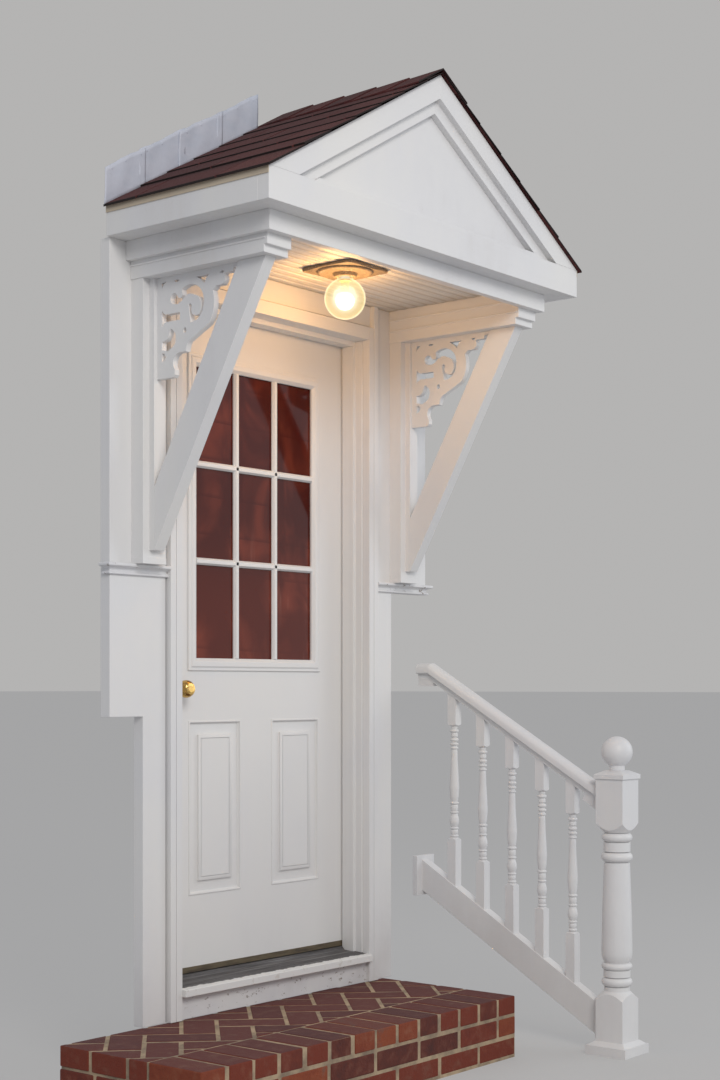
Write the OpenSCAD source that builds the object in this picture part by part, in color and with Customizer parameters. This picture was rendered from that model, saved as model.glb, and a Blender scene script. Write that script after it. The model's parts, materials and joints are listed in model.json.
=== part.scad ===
// Entrance porch: a gabled hood on two braced brackets, the panelled door below it with its
// frame, the brick stoop in front and the sloping stair rail beside it.
// X runs to the right along the house wall, Y into the wall and Z up. The origin is on the
// ground, under the middle of the door, in the plane of the casings' faces.

/* [Stoop] */
// Height of one brick course with its joint
course_h = 65.7; // [55:0.1:80]
// Number of brick courses up to the top of the stoop
courses = 3; // [2:1:5]
// Left end of the stoop from the middle of the door
stoop_left = 905; // [650:1:1200]
// Right end of the stoop from the middle of the door
stoop_right = 543; // [530:1:650]
// How far the stoop comes forward of the casings
stoop_out = 526; // [300:1:600]

/* [Door] */
// Width of the door leaf
door_w = 864; // [760:2:920]
// Height of the door leaf
door_h = 2032; // [1980:2:2060]
// Thickness of the door leaf
door_t = 45; // [40:1:55]
// Running gap all round the door leaf
door_gap = 5; // [4:0.5:7]
// Outer face of the leaf behind the casings' faces
door_set_back = 110; // [95:1:120]
// Width of the glass in the leaf
glass_w = 553; // [450:1:580]
// Height of the glass in the leaf
glass_h = 908; // [700:1:940]
// Middle of the glass above the bottom of the leaf
glass_mid = 1411; // [1380:1:1440]
// Thickness of the glazing
glass_t = 30; // [6:1:32]
// Width of the moulded frame round the glass
lite_frame_w = 40; // [30:1:50]
// How far the moulded frame laps over the glass
lite_lip = 5; // [4:1:12]
// How far the moulded frame stands proud of the leaf
lite_frame_out = 9; // [5:1:14]
// Width of one lower panel
panel_w = 228; // [180:1:240]
// Height of the lower panels
panel_h = 530; // [400:1:560]
// Bottom of the lower panels above the bottom of the leaf
panel_foot = 236; // [180:1:300]
// Distance between the two lower panels
panel_gap = 150; // [100:1:180]
// Depth of the groove round a panel
panel_sink = 7; // [4:0.5:10]
// Backset of the knob from the edge of the leaf
knob_backset = 70; // [60:1:80]
// Height of the knob above the bottom of the leaf
knob_up = 867; // [780:1:890]
// Diameter of the knob
knob_d = 54; // [45:1:60]
// Height of one butt hinge
hinge_h = 102; // [76:1:127]
// How far the leaf's latch edge is bevelled back at its outer face
latch_bevel = 2.5; // [2:0.1:4]

/* [Door frame] */
// Thickness of the jambs
jamb_t = 25; // [18:1:38]
// Depth of the stop that the leaf closes on
stop_depth = 48; // [30:1:60]
// Thickness of the stops at the sides
stop_t = 12; // [10:1:16]
// Thickness of the stop under the head
head_stop_t = 16; // [10:1:20]
// Width of the side casings
casing_w = 48; // [40:1:70]
// Thickness of the casings
casing_t = 30; // [24:1:36]
// How much of the jamb's edge the casing leaves bare
casing_reveal = 5; // [3:1:10]
// Width of the casing's inner strip, up to the fine joint in its face
casing_strip_w = 24; // [18:1:30]
// Height of the head casing
head_casing_h = 43; // [30:1:60]
// Height of the riser board under the sill
riser_h = 69; // [50:1:90]
// Thickness of the riser board
riser_t = 19; // [15:1:25]
// Riser board's face behind the casings' faces
riser_back = 12; // [4:1:18]
// Thickness of the sill's nosing
sill_t = 23; // [18:1:30]
// How far the sill comes forward of the casings
sill_out = 15; // [5:1:40]

/* [Wall boards] */
// Where roof, ceiling and stoop end at the wall, behind the casings' faces
wall_y = 20; // [19:1:30]
// Wall boards' faces behind the casings' faces
board_back = 16; // [10:1:18]
// Thickness of the wall boards
board_t = 38; // [25:1:45]
// Gap between the casings and the wall boards
board_gap = 6; // [3:1:8]
// Width of the left wall board
left_board_w = 222; // [190:1:230]
// Width of the left wall board's foot
left_board_foot_w = 92; // [70:1:120]
// Height above the ground at which the left wall board gets wide
left_board_step_z = 1100; // [800:1:1400]
// Width of the right wall board above its cap
right_board_w = 279; // [220:1:280]
// Width of the right wall board below its cap
right_board_foot_w = 85; // [70:1:120]

/* [Brackets] */
// Middle between the brackets from the middle of the door
bracket_mid = 15; // [0:1:20]
// Distance from there to the middle of a bracket
bracket_half = 603; // [590:1:615]
// Width of the posts
post_w = 92; // [80:1:100]
// How far the posts stand out from the casings' faces
post_out = 32; // [20:1:60]
// Thickness of the strip on the post that carries brace and fretwork
backing_t = 20; // [15:1:30]
// Underside of the cap mouldings above the ground
cap_z = 1508; // [1420:1:1700]
// Height of the cap mouldings
cap_t = 33; // [30:1:45]
// How far a cap moulding stands out from the wall board
cap_out = 20; // [16:1:30]
// How far a cap moulding returns behind the wall board's face
cap_return = 25; // [10:1:35]
// Height of the block between cap and post
plinth_h = 18; // [10:1:40]
// Width of the arms
arm_w = 98; // [92:1:110]
// Length of the arms from the casings' faces
arm_out = 515; // [505:1:560]
// Height of the arms
arm_h = 87; // [60:1:110]
// Thickness of the strip under an arm
strip_t = 21; // [15:1:35]
// How far that strip's end is set back from the arm's
strip_inset = 12; // [5:1:18]
// Thickness of the braces
brace_t = 42; // [30:1:50]
// Depth of the braces
brace_d = 88; // [60:1:95]
// How far the brace's front edge has come out from the post at the arm
brace_reach = 432; // [425:1:436]
// Lowest point of the brace above the cap
brace_foot = 38; // [20:1:60]
// Thickness of the fretwork
fret_t = 19; // [12:1:25]

/* [Hood] */
// Underside of the ceiling above the ground
ceiling_z = 2467; // [2440:1:2600]
// Thickness of the ceiling and soffit boards
ceiling_t = 12; // [8:1:20]
// Height of the frieze boards
frieze_h = 56; // [40:1:80]
// Thickness of the side frieze boards
frieze_t = 18; // [15:1:25]
// Thickness of the front frieze board
front_frieze_t = 24; // [20:1:35]
// Soffit in front of the frieze
soffit_front = 63; // [50:1:90]
// Soffit left of the frieze
soffit_left = 72; // [60:1:120]
// Soffit right of the frieze
soffit_right = 97; // [60:1:140]
// Height of the fascia boards
fascia_h = 88; // [60:1:120]
// Thickness of the side fascia boards
fascia_t = 22; // [16:1:28]
// Rise of the roof for a run of twelve
roof_rise = 7; // [5:0.5:9]
// Width of the rakes' inner boards
rake_w = 97; // [80:1:115]
// Width of the boards laid on them
rake_face_w = 62; // [40:1:75]
// Thickness of each of these boards
rake_t = 20; // [15:1:24]
// Thickness of the board that closes the gable
tympanum_t = 12; // [8:1:18]
// Height of the fillet on top of the front fascia
fillet_h = 16; // [8:1:24]
// How far that fillet stands out from the gable's board
fillet_out = 28; // [10:1:29]
// Thickness of the roof deck
deck_t = 15; // [12:1:20]
// Thickness of the shingle layer
shingle_t = 11; // [8:0.5:16]
// How far the shingles come past the boards
shingle_out = 12; // [6:1:20]
// Width of the ridge cap on each slope
ridge_cap_w = 140; // [90:1:170]
// Height of the metal drip edge
drip_h = 21; // [12:1:30]
// Thickness of the sheet metal
sheet_t = 2; // [1:0.5:3]
// Height of the flashing on the wall
flashing_h = 92; // [60:1:130]
// Depth of the rafters
rafter_d = 64; // [50:1:80]
// Thickness of the rafters
rafter_t = 38; // [30:1:45]
// Number of rafter pairs
rafter_pairs = 3; // [2:1:5]
// Depth of the ridge board
ridge_d = 140; // [110:1:180]
// Thickness of the ridge board
ridge_t = 19; // [15:1:30]
// Height and width of the ceiling battens
batten_s = 38; // [25:1:45]
// Number of ceiling battens
battens = 4; // [3:1:6]

/* [Lamp] */
// Width of the square ceiling plate
lamp_plate_w = 200; // [190:1:300]
// Thickness of the ceiling plate
lamp_plate_t = 8; // [4:1:15]
// Diameter of the round pan on the plate
lamp_pan_d = 178; // [120:1:184]
// Distance of the lamp in front of the casings
lamp_out = 259; // [180:1:350]
// Diameter of the globe
globe_d = 127; // [100:1:160]
// Wall of the globe
globe_wall = 3; // [2:0.5:5]
// Diameter of the globe's neck
neck_d = 82; // [60:1:95]
// Middle of the globe below the ceiling
globe_drop = 91; // [85:1:120]
// Diameter of the bulb
bulb_d = 60; // [45:1:70]

/* [Stair rail] */
// Middle of the rail from the middle of the door
rail_x = 790; // [720:1:900]
// Middle of the newel in front of the casings
newel_out = 749; // [650:1:850]
// Width of the newel's square blocks
newel_w = 100; // [85:1:120]
// Width of the plinth under the newel
newel_plinth_w = 149; // [120:1:180]
// Height of that plinth
newel_plinth_h = 42; // [25:1:60]
// Top of the newel's lower block
newel_base_h = 175; // [150:1:200]
// Bottom of the newel's upper block
newel_block_z = 746; // [710:1:780]
// Top of the newel's upper block
newel_block_top = 889; // [870:1:940]
// Height over which a block is turned down to the shaft
newel_shoulder = 29; // [20:1:35]
// Diameter of the ball
ball_d = 101; // [80:1:120]
// Wall behind the rail's ends, behind the casings' faces
rail_wall = 45; // [30:1:60]
// Slope of the rails
rail_slope = 30.5; // [27:0.1:33]
// Top of the top rail at the newel
top_rail_z = 860; // [840:1:880]
// Width of the top rail
top_rail_w = 64; // [50:1:80]
// Depth of the top rail
top_rail_d = 50; // [40:1:60]
// Level stretch of the top rail at the wall
top_rail_level = 50; // [30:1:80]
// Thickness of the blocks under the ends of the top rail
rail_block_t = 22; // [12:1:30]
// Top of the bottom rail at the newel
bottom_rail_z = 152; // [150:1:170]
// Depth of the bottom rail
bottom_rail_d = 92; // [60:1:94]
// Thickness of the bottom rail
bottom_rail_t = 40; // [36:1:60]
// Width of that rail's plate on the wall
rail_plate_w = 100; // [80:1:120]
// Height of the plate
rail_plate_h = 138; // [120:1:160]
// Thickness of the plate
rail_plate_t = 19; // [12:1:30]
// Width of the balusters' square ends
baluster_w = 34; // [28:1:40]
// Length of a baluster's turned middle
baluster_turned = 400; // [340:1:440]
// Length of a baluster's upper square end at its axis
baluster_block = 99; // [70:1:120]
// Number of balusters
balusters_n = 5; // [3:1:6]

/* [Hidden] */

white = [0.93, 0.92, 0.90];
brick_red = [0.55, 0.27, 0.20];
maroon = [0.42, 0.20, 0.18];
raw_wood = [0.78, 0.66, 0.48];
rust = [0.45, 0.40, 0.35];
brass = [0.80, 0.62, 0.30];
tan = [0.70, 0.62, 0.50];
weathered = [0.60, 0.58, 0.53];

stoop_h = courses * course_h;
door_z = stoop_h + riser_h + sill_t + 24;
door_top = door_z + door_h;
leaf_y = door_set_back;
leaf_back = leaf_y + door_t;
jamb_x = door_w / 2 + door_gap;
jamb_head_z = door_top + door_gap;
sill_top = door_z - door_gap;
casing_x = jamb_x + casing_reveal;
casing_end = casing_x + casing_w;
casing_joint_x = casing_x + casing_strip_w;
joint_w = 1.5;
head_casing_top = jamb_head_z + head_casing_h;
sill_z = stoop_h + riser_h;
board_x = casing_end + board_gap;

post_z = cap_z + cap_t;
backing_out = post_out + backing_t;
arm_z = ceiling_z - arm_h;
strip_z = arm_z - strip_t;
brace_z = post_z + brace_foot;
arm_inner = bracket_half - arm_w / 2;
arm_outer = bracket_half + arm_w / 2;

frieze_half = arm_outer + frieze_t;
frieze_y = arm_out + front_frieze_t;
fascia_y = frieze_y + soffit_front;
fascia_left = frieze_half - bracket_mid + soffit_left;
fascia_right = frieze_half + bracket_mid + soffit_right;
roof_mid = (fascia_right - fascia_left) / 2;
roof_half = (fascia_right + fascia_left) / 2;
roof_tan = roof_rise / 12;
roof_angle = atan(roof_tan);
eave_z = ceiling_z + fascia_h;
apex_z = eave_z + roof_half * roof_tan;
rake_back = fascia_y - 2 * rake_t;
tympanum_back = rake_back - tympanum_t;
ceiling_top = ceiling_z + ceiling_t;
rafter_seat = 0.3;
lamp_seat = 18;

newel_face = newel_out - newel_w / 2;
rail_run = newel_face + rail_wall;
rail_tan = tan(rail_slope);
top_rail_v = top_rail_d / cos(rail_slope);
top_rail_low = top_rail_z - top_rail_v;
top_rail_wall_z = top_rail_z + (rail_run - top_rail_level) * rail_tan;
sub_rail_w = baluster_w + 4;
sub_rail_d = 18;
rail_crown = 16;
knee_joint = 0.4;
rail_block_l = 57;
wall_block_l = 64;
newel_strip_t = 18;
newel_cap_h = 27;
bottom_rail_v = bottom_rail_d / cos(rail_slope);
bottom_rail_wall_z = bottom_rail_z + rail_run * rail_tan;
baluster_first = 99;
baluster_pitch = 120.5;

hinge_x = jamb_x - door_gap / 2;
hinge_pin_r = 3;
hinge_r = 6.5;
hinge_y = leaf_back + hinge_r + 0.5;
hinge_plate_t = 2;
hinge_plate_w = 34;
hinge_clear = 0.4;
hinge_heights = [door_z + 250, door_z + door_h / 2, door_top - 190];

// A box from its lowest corner to its highest
module span(x0, x1, y0, y1, z0, z1) {
    translate([x0, y0, z0]) cube([x1 - x0, y1 - y0, z1 - z0]);
}

// An outline drawn in Y and Z, given its width along X
module along_x(x0, x1) {
    translate([x0, 0, 0]) rotate([90, 0, 90]) linear_extrude(x1 - x0) children();
}

// An outline drawn in X and Z, given its depth along Y
module along_y(y0, y1) {
    translate([0, y1, 0]) rotate([90, 0, 0]) linear_extrude(y1 - y0) children();
}

// A tray or field with sloping sides, from one rectangle at y0 to another at y1
module sloping_block(w0, h0, w1, h1, y0, y1) {
    polyhedron(
        points = [for (k = [[w0, h0, y0], [w1, h1, y1]]) for (c = [[-1, -1], [1, -1], [1, 1], [-1, 1]])
            [c[0] * k[0] / 2, k[2], c[1] * k[1] / 2]],
        faces = [[3, 2, 1, 0], [4, 5, 6, 7], [0, 1, 5, 4], [1, 2, 6, 5], [2, 3, 7, 6], [3, 0, 4, 7]]);
}

module both_sides() {
    children();
    mirror([1, 0, 0]) children();
}

// Puts what is drawn about the plane X = 0 on the middle of a bracket
module on_bracket(side) {
    translate([bracket_mid + side * bracket_half, 0, 0]) children();
}

// A square post's block with its ends turned down to a round of radius r
module turned_block(w, z0, z1, low, high, r) {
    corner = w * 0.71;
    intersection() {
        span(-w / 2, w / 2, -w / 2, w / 2, z0 - low, z1 + high);
        rotate_extrude($fn = 48) polygon([[0, z0 - low], [r, z0 - low], [corner, z0], [corner, z1],
            [r, z1 + high], [0, z1 + high]]);
    }
}

// A half-round bead between two heights, in radius and height
function bead(r, z0, z1, n = 6) = arc([r - (z1 - z0) / 2, (z0 + z1) / 2], (z1 - z0) / 2, -90, 90, n);

// Stoop

module brick_stoop() {
    color(brick_red) span(-stoop_left, stoop_right, -stoop_out, wall_y, 0, stoop_h);
}

// Door frame

// The sill's section, which can be drawn longer behind and below as a cutter
module sill_outline(extra = 0) {
    slope_back = leaf_y - 15;
    back = leaf_back + extra;
    low = sill_z - extra;
    polygon([[-sill_out, low], [-sill_out, sill_z + sill_t], [slope_back, sill_z + sill_t + 8],
        [leaf_y - 5, sill_top], [back, sill_top], [back, low]]);
}

module door_sill() {
    color(weathered) intersection() {
        along_x(-jamb_x - jamb_t, jamb_x + jamb_t) sill_outline();
        union() {
            span(-casing_x, casing_x, -sill_out, casing_t, sill_z, door_z);
            span(-jamb_x - jamb_t, jamb_x + jamb_t, casing_t, leaf_back, sill_z, door_z);
        }
    }
}

module door_riser() {
    color(white) span(-casing_x, casing_x, riser_back, riser_back + riser_t, stoop_h, sill_z);
}

module side_jamb() {
    difference() {
        union() {
            span(jamb_x, jamb_x + jamb_t, casing_t, leaf_back, sill_z, jamb_head_z);
            span(jamb_x - stop_t, jamb_x, leaf_y - door_gap - stop_depth, leaf_y - door_gap,
                sill_z, jamb_head_z - head_stop_t);
        }
        along_x(0, jamb_x + jamb_t + 1) sill_outline(1);
    }
}

module right_jamb() {
    color(white) difference() {
        side_jamb();
        hinge_recesses(jamb_x, hinge_plate_t);
    }
}

module left_jamb() {
    color(white) mirror([1, 0, 0]) side_jamb();
}

module head_jamb() {
    color(white) {
        span(-jamb_x - jamb_t, jamb_x + jamb_t, casing_t, leaf_back, jamb_head_z, jamb_head_z + jamb_t);
        span(-jamb_x, jamb_x, leaf_y - door_gap - stop_depth, leaf_y - door_gap,
            jamb_head_z - head_stop_t, jamb_head_z);
    }
}

// The inner strip ends with the head casing, the outer one runs on up to the ceiling
module side_casing() {
    difference() {
        span(casing_x, casing_end, 0, casing_t, stoop_h, ceiling_z);
        span(casing_x - 1, casing_joint_x, -1, casing_t + 1, head_casing_top, ceiling_z + 1);
        span(casing_joint_x, casing_joint_x + joint_w, -1, casing_t / 3, stoop_h - 1, ceiling_z + 1);
    }
}

module right_casing() {
    color(white) side_casing();
}

module left_casing() {
    color(white) mirror([1, 0, 0]) side_casing();
}

module head_casing() {
    color(white) span(-casing_x, casing_x, 0, casing_t, jamb_head_z, head_casing_top);
}

// Wall boards

// A board that is wide above one height and narrow below it, given outwards from the casing
module side_board(foot_w, wide_w, step_z) {
    span(board_x, board_x + foot_w, board_back, board_back + board_t, stoop_h, step_z);
    span(board_x, board_x + wide_w, board_back, board_back + board_t, step_z, ceiling_z);
}

module left_side_board() {
    color(white) mirror([1, 0, 0]) side_board(left_board_foot_w, left_board_w, left_board_step_z);
}

module right_side_board() {
    color(white) side_board(right_board_foot_w, right_board_w, cap_z);
}

module wall_ledger() {
    color(white) span(-casing_joint_x, casing_joint_x, board_back, board_back + board_t,
        head_casing_top + board_gap, ceiling_z);
}

// A cap moulding's steps: how far each point is set back from the nosing, and its height
cap_steps = [[13, 0], [11, 3], [13, 7], [17, 10], [17, 16], [12, 21], [2, 23], [0, 25],
    [0, cap_t - 2], [2, cap_t]];

// The moulding stands on the wall board and returns round the board's outer edge
module cap_moulding(board_w) {
    nose = board_back - cap_out;
    back = board_back + cap_return;
    end = board_x + board_w + cap_out;
    difference() {
        intersection() {
            along_x(casing_end, end) polygon(concat([for (s = cap_steps) [nose + s[0], cap_z + s[1]]],
                [[back, cap_z + cap_t], [back, cap_z]]));
            along_y(nose, back) polygon(concat([for (s = cap_steps) [end - s[0], cap_z + s[1]]],
                [[casing_end, cap_z + cap_t], [casing_end, cap_z]]));
        }
        span(casing_end - 1, board_x + board_w, board_back, back + 1, cap_z - 1, post_z + 1);
    }
}

module post_caps() {
    color(white) {
        cap_moulding(right_board_w);
        mirror([1, 0, 0]) cap_moulding(left_board_w);
    }
}

// Brackets

module post() {
    span(-post_w / 2, post_w / 2, -post_out, board_back, post_z + plinth_h, strip_z);
    span(-post_w / 2 - 1, post_w / 2 + 1, -post_out - 1, board_back, post_z, post_z + plinth_h);
    span(-brace_t / 2, brace_t / 2, -backing_out, -post_out, brace_z, strip_z);
}

module right_post() {
    color(white) on_bracket(1) post();
}

module left_post() {
    color(white) on_bracket(-1) post();
}

module arm() {
    span(-arm_w / 2, arm_w / 2, -arm_out, board_back, arm_z, ceiling_z);
    span(-arm_w / 2, arm_w / 2, -arm_out + strip_inset, board_back, strip_z, arm_z);
}

module right_arm() {
    color(white) on_bracket(1) arm();
}

module left_arm() {
    color(white) on_bracket(-1) arm();
}

module brace() {
    run = strip_z - brace_z;
    shift = brace_d / sin(atan(brace_reach / run));
    along_x(-brace_t / 2, brace_t / 2) polygon([[-backing_out, brace_z], [-backing_out, brace_z + shift],
        [-backing_out - (run - shift) * brace_reach / run, strip_z],
        [-backing_out - brace_reach, strip_z]]);
}

module right_brace() {
    color(white) on_bracket(1) brace();
}

module left_brace() {
    color(white) on_bracket(-1) brace();
}

// Fretwork, drawn with its corner at the origin: out from the post along +X, down along -Y

function arc(c, r, a0, a1, n) = curl(c, r, r, a0, a1, n);

// An arc whose radius changes evenly from r0 to r1
function curl(c, r0, r1, a0, a1, n) = [for (i = [0 : n])
    let (a = a0 + (a1 - a0) * i / n, r = r0 + (r1 - r0) * i / n) [c[0] + r * cos(a), c[1] + r * sin(a)]];

function oval(c, w, h, n = 16) = [for (i = [0 : n - 1])
    [c[0] + w / 2 * cos(360 * i / n), c[1] + h / 2 * sin(360 * i / n)]];

module fret_outline() {
    polygon(concat([[0, 0], [326, 0], [318, -11], [302, -11], [299, -22], [270, -22]],
        arc([252, -36], 17, 40, -100, 8), [[234, -53], [226, -62]],
        arc([132, -96], 95, 20, -38, 10), [[127, -194], [120, -204], [116, -222]],
        arc([93, -250], 28, 95, 205, 8), [[72, -268], [72, -283], [66, -290], [0, -290]]));
}

// The large scroll: its outer edge, its tail, its inner edge and the lobe at its other end
function scroll_points() = let (c = [140, -92]) concat(
    curl(c, 62, 46, 130, 0, 14), curl(c, 46, 50, -8, -95, 8),
    [[130, -112], [127, -93], [133, -87], [139, -94], [137, -108]],
    curl(c, 28, 42, -88, -50, 4), curl(c, 40, 27, -30, 61, 8), curl(c, 28, 38, 75, 143, 6),
    [[88, -83]], arc([70, -67], 16, -90, -300, 8), [[86, -66], [96, -68], [104, -61]]);

// The stile beside the post is 20 wide, and four of the openings start at it
module fret_holes() {
    stile = 20;
    polygon(scroll_points());
    polygon(concat([[stile, -15]], arc([stile + 23, -38], 23, 90, 180, 6)));
    polygon([[stile, -94], [27, -104], [37, -108], [92, -108], [92, -129], [37, -129], [27, -133],
        [stile, -142]]);
    polygon(concat(arc([46, -179], 30, 72, -62, 10), [[42, -213], [stile, -208], [stile, -184]],
        arc([24, -158], 26, -95, -5, 6)));
    polygon([[stile, -216], [30, -219], [36, -229], [30, -239], [stile, -243]]);
    polygon([[158, -17], [208, -17], [195, -27], [189, -40], [177, -28]]);
    polygon(oval([80, -17], 19, 7));
    polygon(oval([112, -162], 12, 17));
    polygon(oval([257, -18], 16, 7));
}

module fretwork() {
    translate([0, -backing_out, strip_z]) along_x(-fret_t / 2, fret_t / 2)
        mirror([1, 0]) difference() {
            fret_outline();
            fret_holes();
        }
}

module right_fretwork() {
    color(white) on_bracket(1) fretwork();
}

module left_fretwork() {
    color(white) on_bracket(-1) fretwork();
}

// Hood

module front_frieze() {
    color(white) span(bracket_mid - frieze_half, bracket_mid + frieze_half, -frieze_y, -arm_out,
        ceiling_z - frieze_h, ceiling_z);
}

module side_friezes() {
    color(white) translate([bracket_mid, 0, 0]) both_sides()
        span(arm_outer, frieze_half, -arm_out, board_back, ceiling_z - frieze_h, ceiling_z);
}

// The boards between the arms, grown by a cut past the wall and the faces
module ceiling_field(cut = 0) {
    span(bracket_mid - arm_inner, bracket_mid + arm_inner, -arm_out, wall_y + cut,
        ceiling_z - cut, ceiling_top + cut);
}

module soffit() {
    color(white) difference() {
        span(-fascia_left + fascia_t, fascia_right - fascia_t, -rake_back, wall_y,
            ceiling_z, ceiling_top);
        ceiling_field(1);
    }
}

module ceiling() {
    color(white) ceiling_field();
}

module front_fascia() {
    reach = roof_half - rake_w / sin(roof_angle);
    color(white) {
        span(-fascia_left, fascia_right, -fascia_y, -rake_back, ceiling_z, eave_z);
        translate([roof_mid, 0, 0]) along_y(-rake_back - fillet_out, -rake_back)
            polygon([[-reach, eave_z], [reach, eave_z],
                [reach - fillet_h / roof_tan, eave_z + fillet_h],
                [fillet_h / roof_tan - reach, eave_z + fillet_h]]);
    }
}

module side_fascias() {
    top = eave_z + fascia_t * roof_tan;
    color(white) {
        along_y(-rake_back, wall_y) polygon([[-fascia_left, ceiling_z], [-fascia_left, eave_z],
            [-fascia_left + fascia_t, top], [-fascia_left + fascia_t, ceiling_z]]);
        along_y(-rake_back, wall_y) polygon([[fascia_right, ceiling_z], [fascia_right, eave_z],
            [fascia_right - fascia_t, top], [fascia_right - fascia_t, ceiling_z]]);
    }
}

// Half of a roof layer in X and Z: it lies under the roof line from depth d0 to d1 and reaches
// from the ridge to the distance out from the middle
module slope_outline(d0, d1, reach, inner) {
    v0 = d0 / cos(roof_angle);
    v1 = d1 / cos(roof_angle);
    polygon([[inner, apex_z - inner * roof_tan - v0], [reach, apex_z - reach * roof_tan - v0],
        [reach, apex_z - reach * roof_tan - v1], [inner, apex_z - inner * roof_tan - v1]]);
}

module on_slope(side) {
    translate([roof_mid, 0, 0]) mirror([side < 0 ? 1 : 0, 0, 0]) children();
}

module rake_board(w, y0, y1) {
    v = w / cos(roof_angle);
    along_y(y0, y1) polygon([[0, apex_z], [roof_half, eave_z],
        [roof_half - v / roof_tan, eave_z], [0, apex_z - v]]);
}

module rake(side) {
    on_slope(side) {
        rake_board(rake_face_w, -fascia_y, -fascia_y + rake_t);
        rake_board(rake_w, -fascia_y + rake_t, -rake_back);
    }
}

module right_rake() {
    color(white) rake(1);
}

module left_rake() {
    color(white) rake(-1);
}

module tympanum() {
    v = deck_t / cos(roof_angle);
    edge = roof_half - fascia_t;
    low = apex_z - edge * roof_tan - v;
    color(white) translate([roof_mid, 0, 0]) along_y(-rake_back, -tympanum_back)
        polygon([[-edge, ceiling_top], [edge, ceiling_top], [edge, low], [0, apex_z - v], [-edge, low]]);
}

module roof_deck(side) {
    on_slope(side) along_y(-rake_back, wall_y) slope_outline(0, deck_t, roof_half - fascia_t, 0);
}

module right_roof_deck() {
    color(raw_wood) roof_deck(1);
}

module left_roof_deck() {
    color(raw_wood) roof_deck(-1);
}

module shingles(side) {
    on_slope(side) along_y(-fascia_y - shingle_out, wall_y)
        slope_outline(-shingle_t, 0, roof_half + shingle_out, 0);
}

module right_shingles() {
    color(maroon) shingles(1);
}

module left_shingles() {
    color(maroon) shingles(-1);
}

module ridge_cap() {
    t = shingle_t / 2;
    color(maroon) for (side = [-1, 1]) on_slope(side) along_y(-fascia_y - shingle_out, wall_y)
        slope_outline(-shingle_t - t, -shingle_t, ridge_cap_w * cos(roof_angle), 0);
}

module drip_edges() {
    color(tan) for (side = [-1, 1]) on_slope(side) along_y(-fascia_y, wall_y)
        polygon([[roof_half, eave_z - drip_h], [roof_half + sheet_t + 1, eave_z - drip_h],
            [roof_half + sheet_t, eave_z - drip_h + 4], [roof_half + sheet_t, eave_z - sheet_t * roof_tan],
            [roof_half, eave_z]]);
}

module wall_flashing() {
    start = ridge_cap_w * cos(roof_angle);
    color(white) for (side = [-1, 1]) on_slope(side) along_y(wall_y - sheet_t, wall_y)
        slope_outline(-shingle_t - flashing_h, -shingle_t, roof_half + shingle_out, start);
}

module ridge_board() {
    top = apex_z - deck_t / cos(roof_angle) - ridge_t / 2 * roof_tan;
    color(raw_wood) translate([roof_mid, 0, 0])
        span(-ridge_t / 2, ridge_t / 2, -tympanum_back, wall_y, top - ridge_d, top);
}

module rafters() {
    first = tympanum_back - rafter_t;
    pitch = (first + wall_y) / (rafter_pairs - 1);
    color(raw_wood) for (i = [0 : rafter_pairs - 1]) for (side = [-1, 1]) on_slope(side)
        intersection() {
            translate([0, -first + i * pitch - (i == rafter_pairs - 1 ? rafter_t : 0), 0])
                along_y(-rafter_t, 0)
                slope_outline(deck_t + rafter_seat, deck_t + rafter_d, roof_half - fascia_t, ridge_t / 2);
            span(0, roof_half, -fascia_y, wall_y, ceiling_top, apex_z);
        }
}

module ceiling_battens() {
    reach = arm_inner - 60;
    color(raw_wood) for (i = [0 : battens - 1])
        translate([bracket_mid - reach + i * 2 * reach / (battens - 1), 0, 0])
        span(-batten_s / 2, batten_s / 2, -tympanum_back, wall_y, ceiling_top, ceiling_top + batten_s);
}

// Lamp

module lamp_plate() {
    w = lamp_plate_w;
    c = w * 0.06;
    color(rust) translate([0, -lamp_out, ceiling_z]) {
        translate([0, 0, -lamp_plate_t]) linear_extrude(lamp_plate_t) polygon([[-w / 2, -w / 2 + c],
            [-w / 2 + c, -w / 2], [w / 2 - c, -w / 2], [w / 2, -w / 2 + c], [w / 2, w / 2 - c],
            [w / 2 - c, w / 2], [-w / 2 + c, w / 2], [-w / 2, w / 2 - c]]);
        translate([0, 0, -lamp_plate_t]) mirror([0, 0, 1]) {
            cylinder(h = 12, d1 = lamp_pan_d, d2 = lamp_pan_d - 14, $fn = 64);
            cylinder(h = lamp_seat, d = neck_d + 12, $fn = 64);
            cylinder(h = lamp_seat + 12, d = 34, $fn = 48);
        }
    }
}

module lamp_globe() {
    r = globe_d / 2;
    ri = r - globe_wall;
    nr = neck_d / 2;
    up = sqrt(r * r - nr * nr);
    upi = sqrt(ri * ri - (nr - globe_wall) * (nr - globe_wall));
    a = atan2(up, nr);
    ai = atan2(upi, nr - globe_wall);
    top = globe_drop - lamp_plate_t - lamp_seat;
    color([0.95, 0.88, 0.70, 0.5]) translate([0, -lamp_out, ceiling_z - globe_drop])
        rotate_extrude($fn = 72) polygon(concat([[0, -r]], arc([0, 0], r, -85, a, 24),
            [[nr, top], [nr - globe_wall, top]], arc([0, 0], ri, ai, -85, 24), [[0, -ri]]));
}

module lamp_bulb() {
    neck_top = globe_drop - lamp_plate_t - lamp_seat - 12;
    color([1, 0.95, 0.8]) translate([0, -lamp_out, ceiling_z - globe_drop - 6]) {
        sphere(d = bulb_d, $fn = 48);
        cylinder(h = neck_top + 6, d = 27, $fn = 32);
    }
}

// Stair rail

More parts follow.
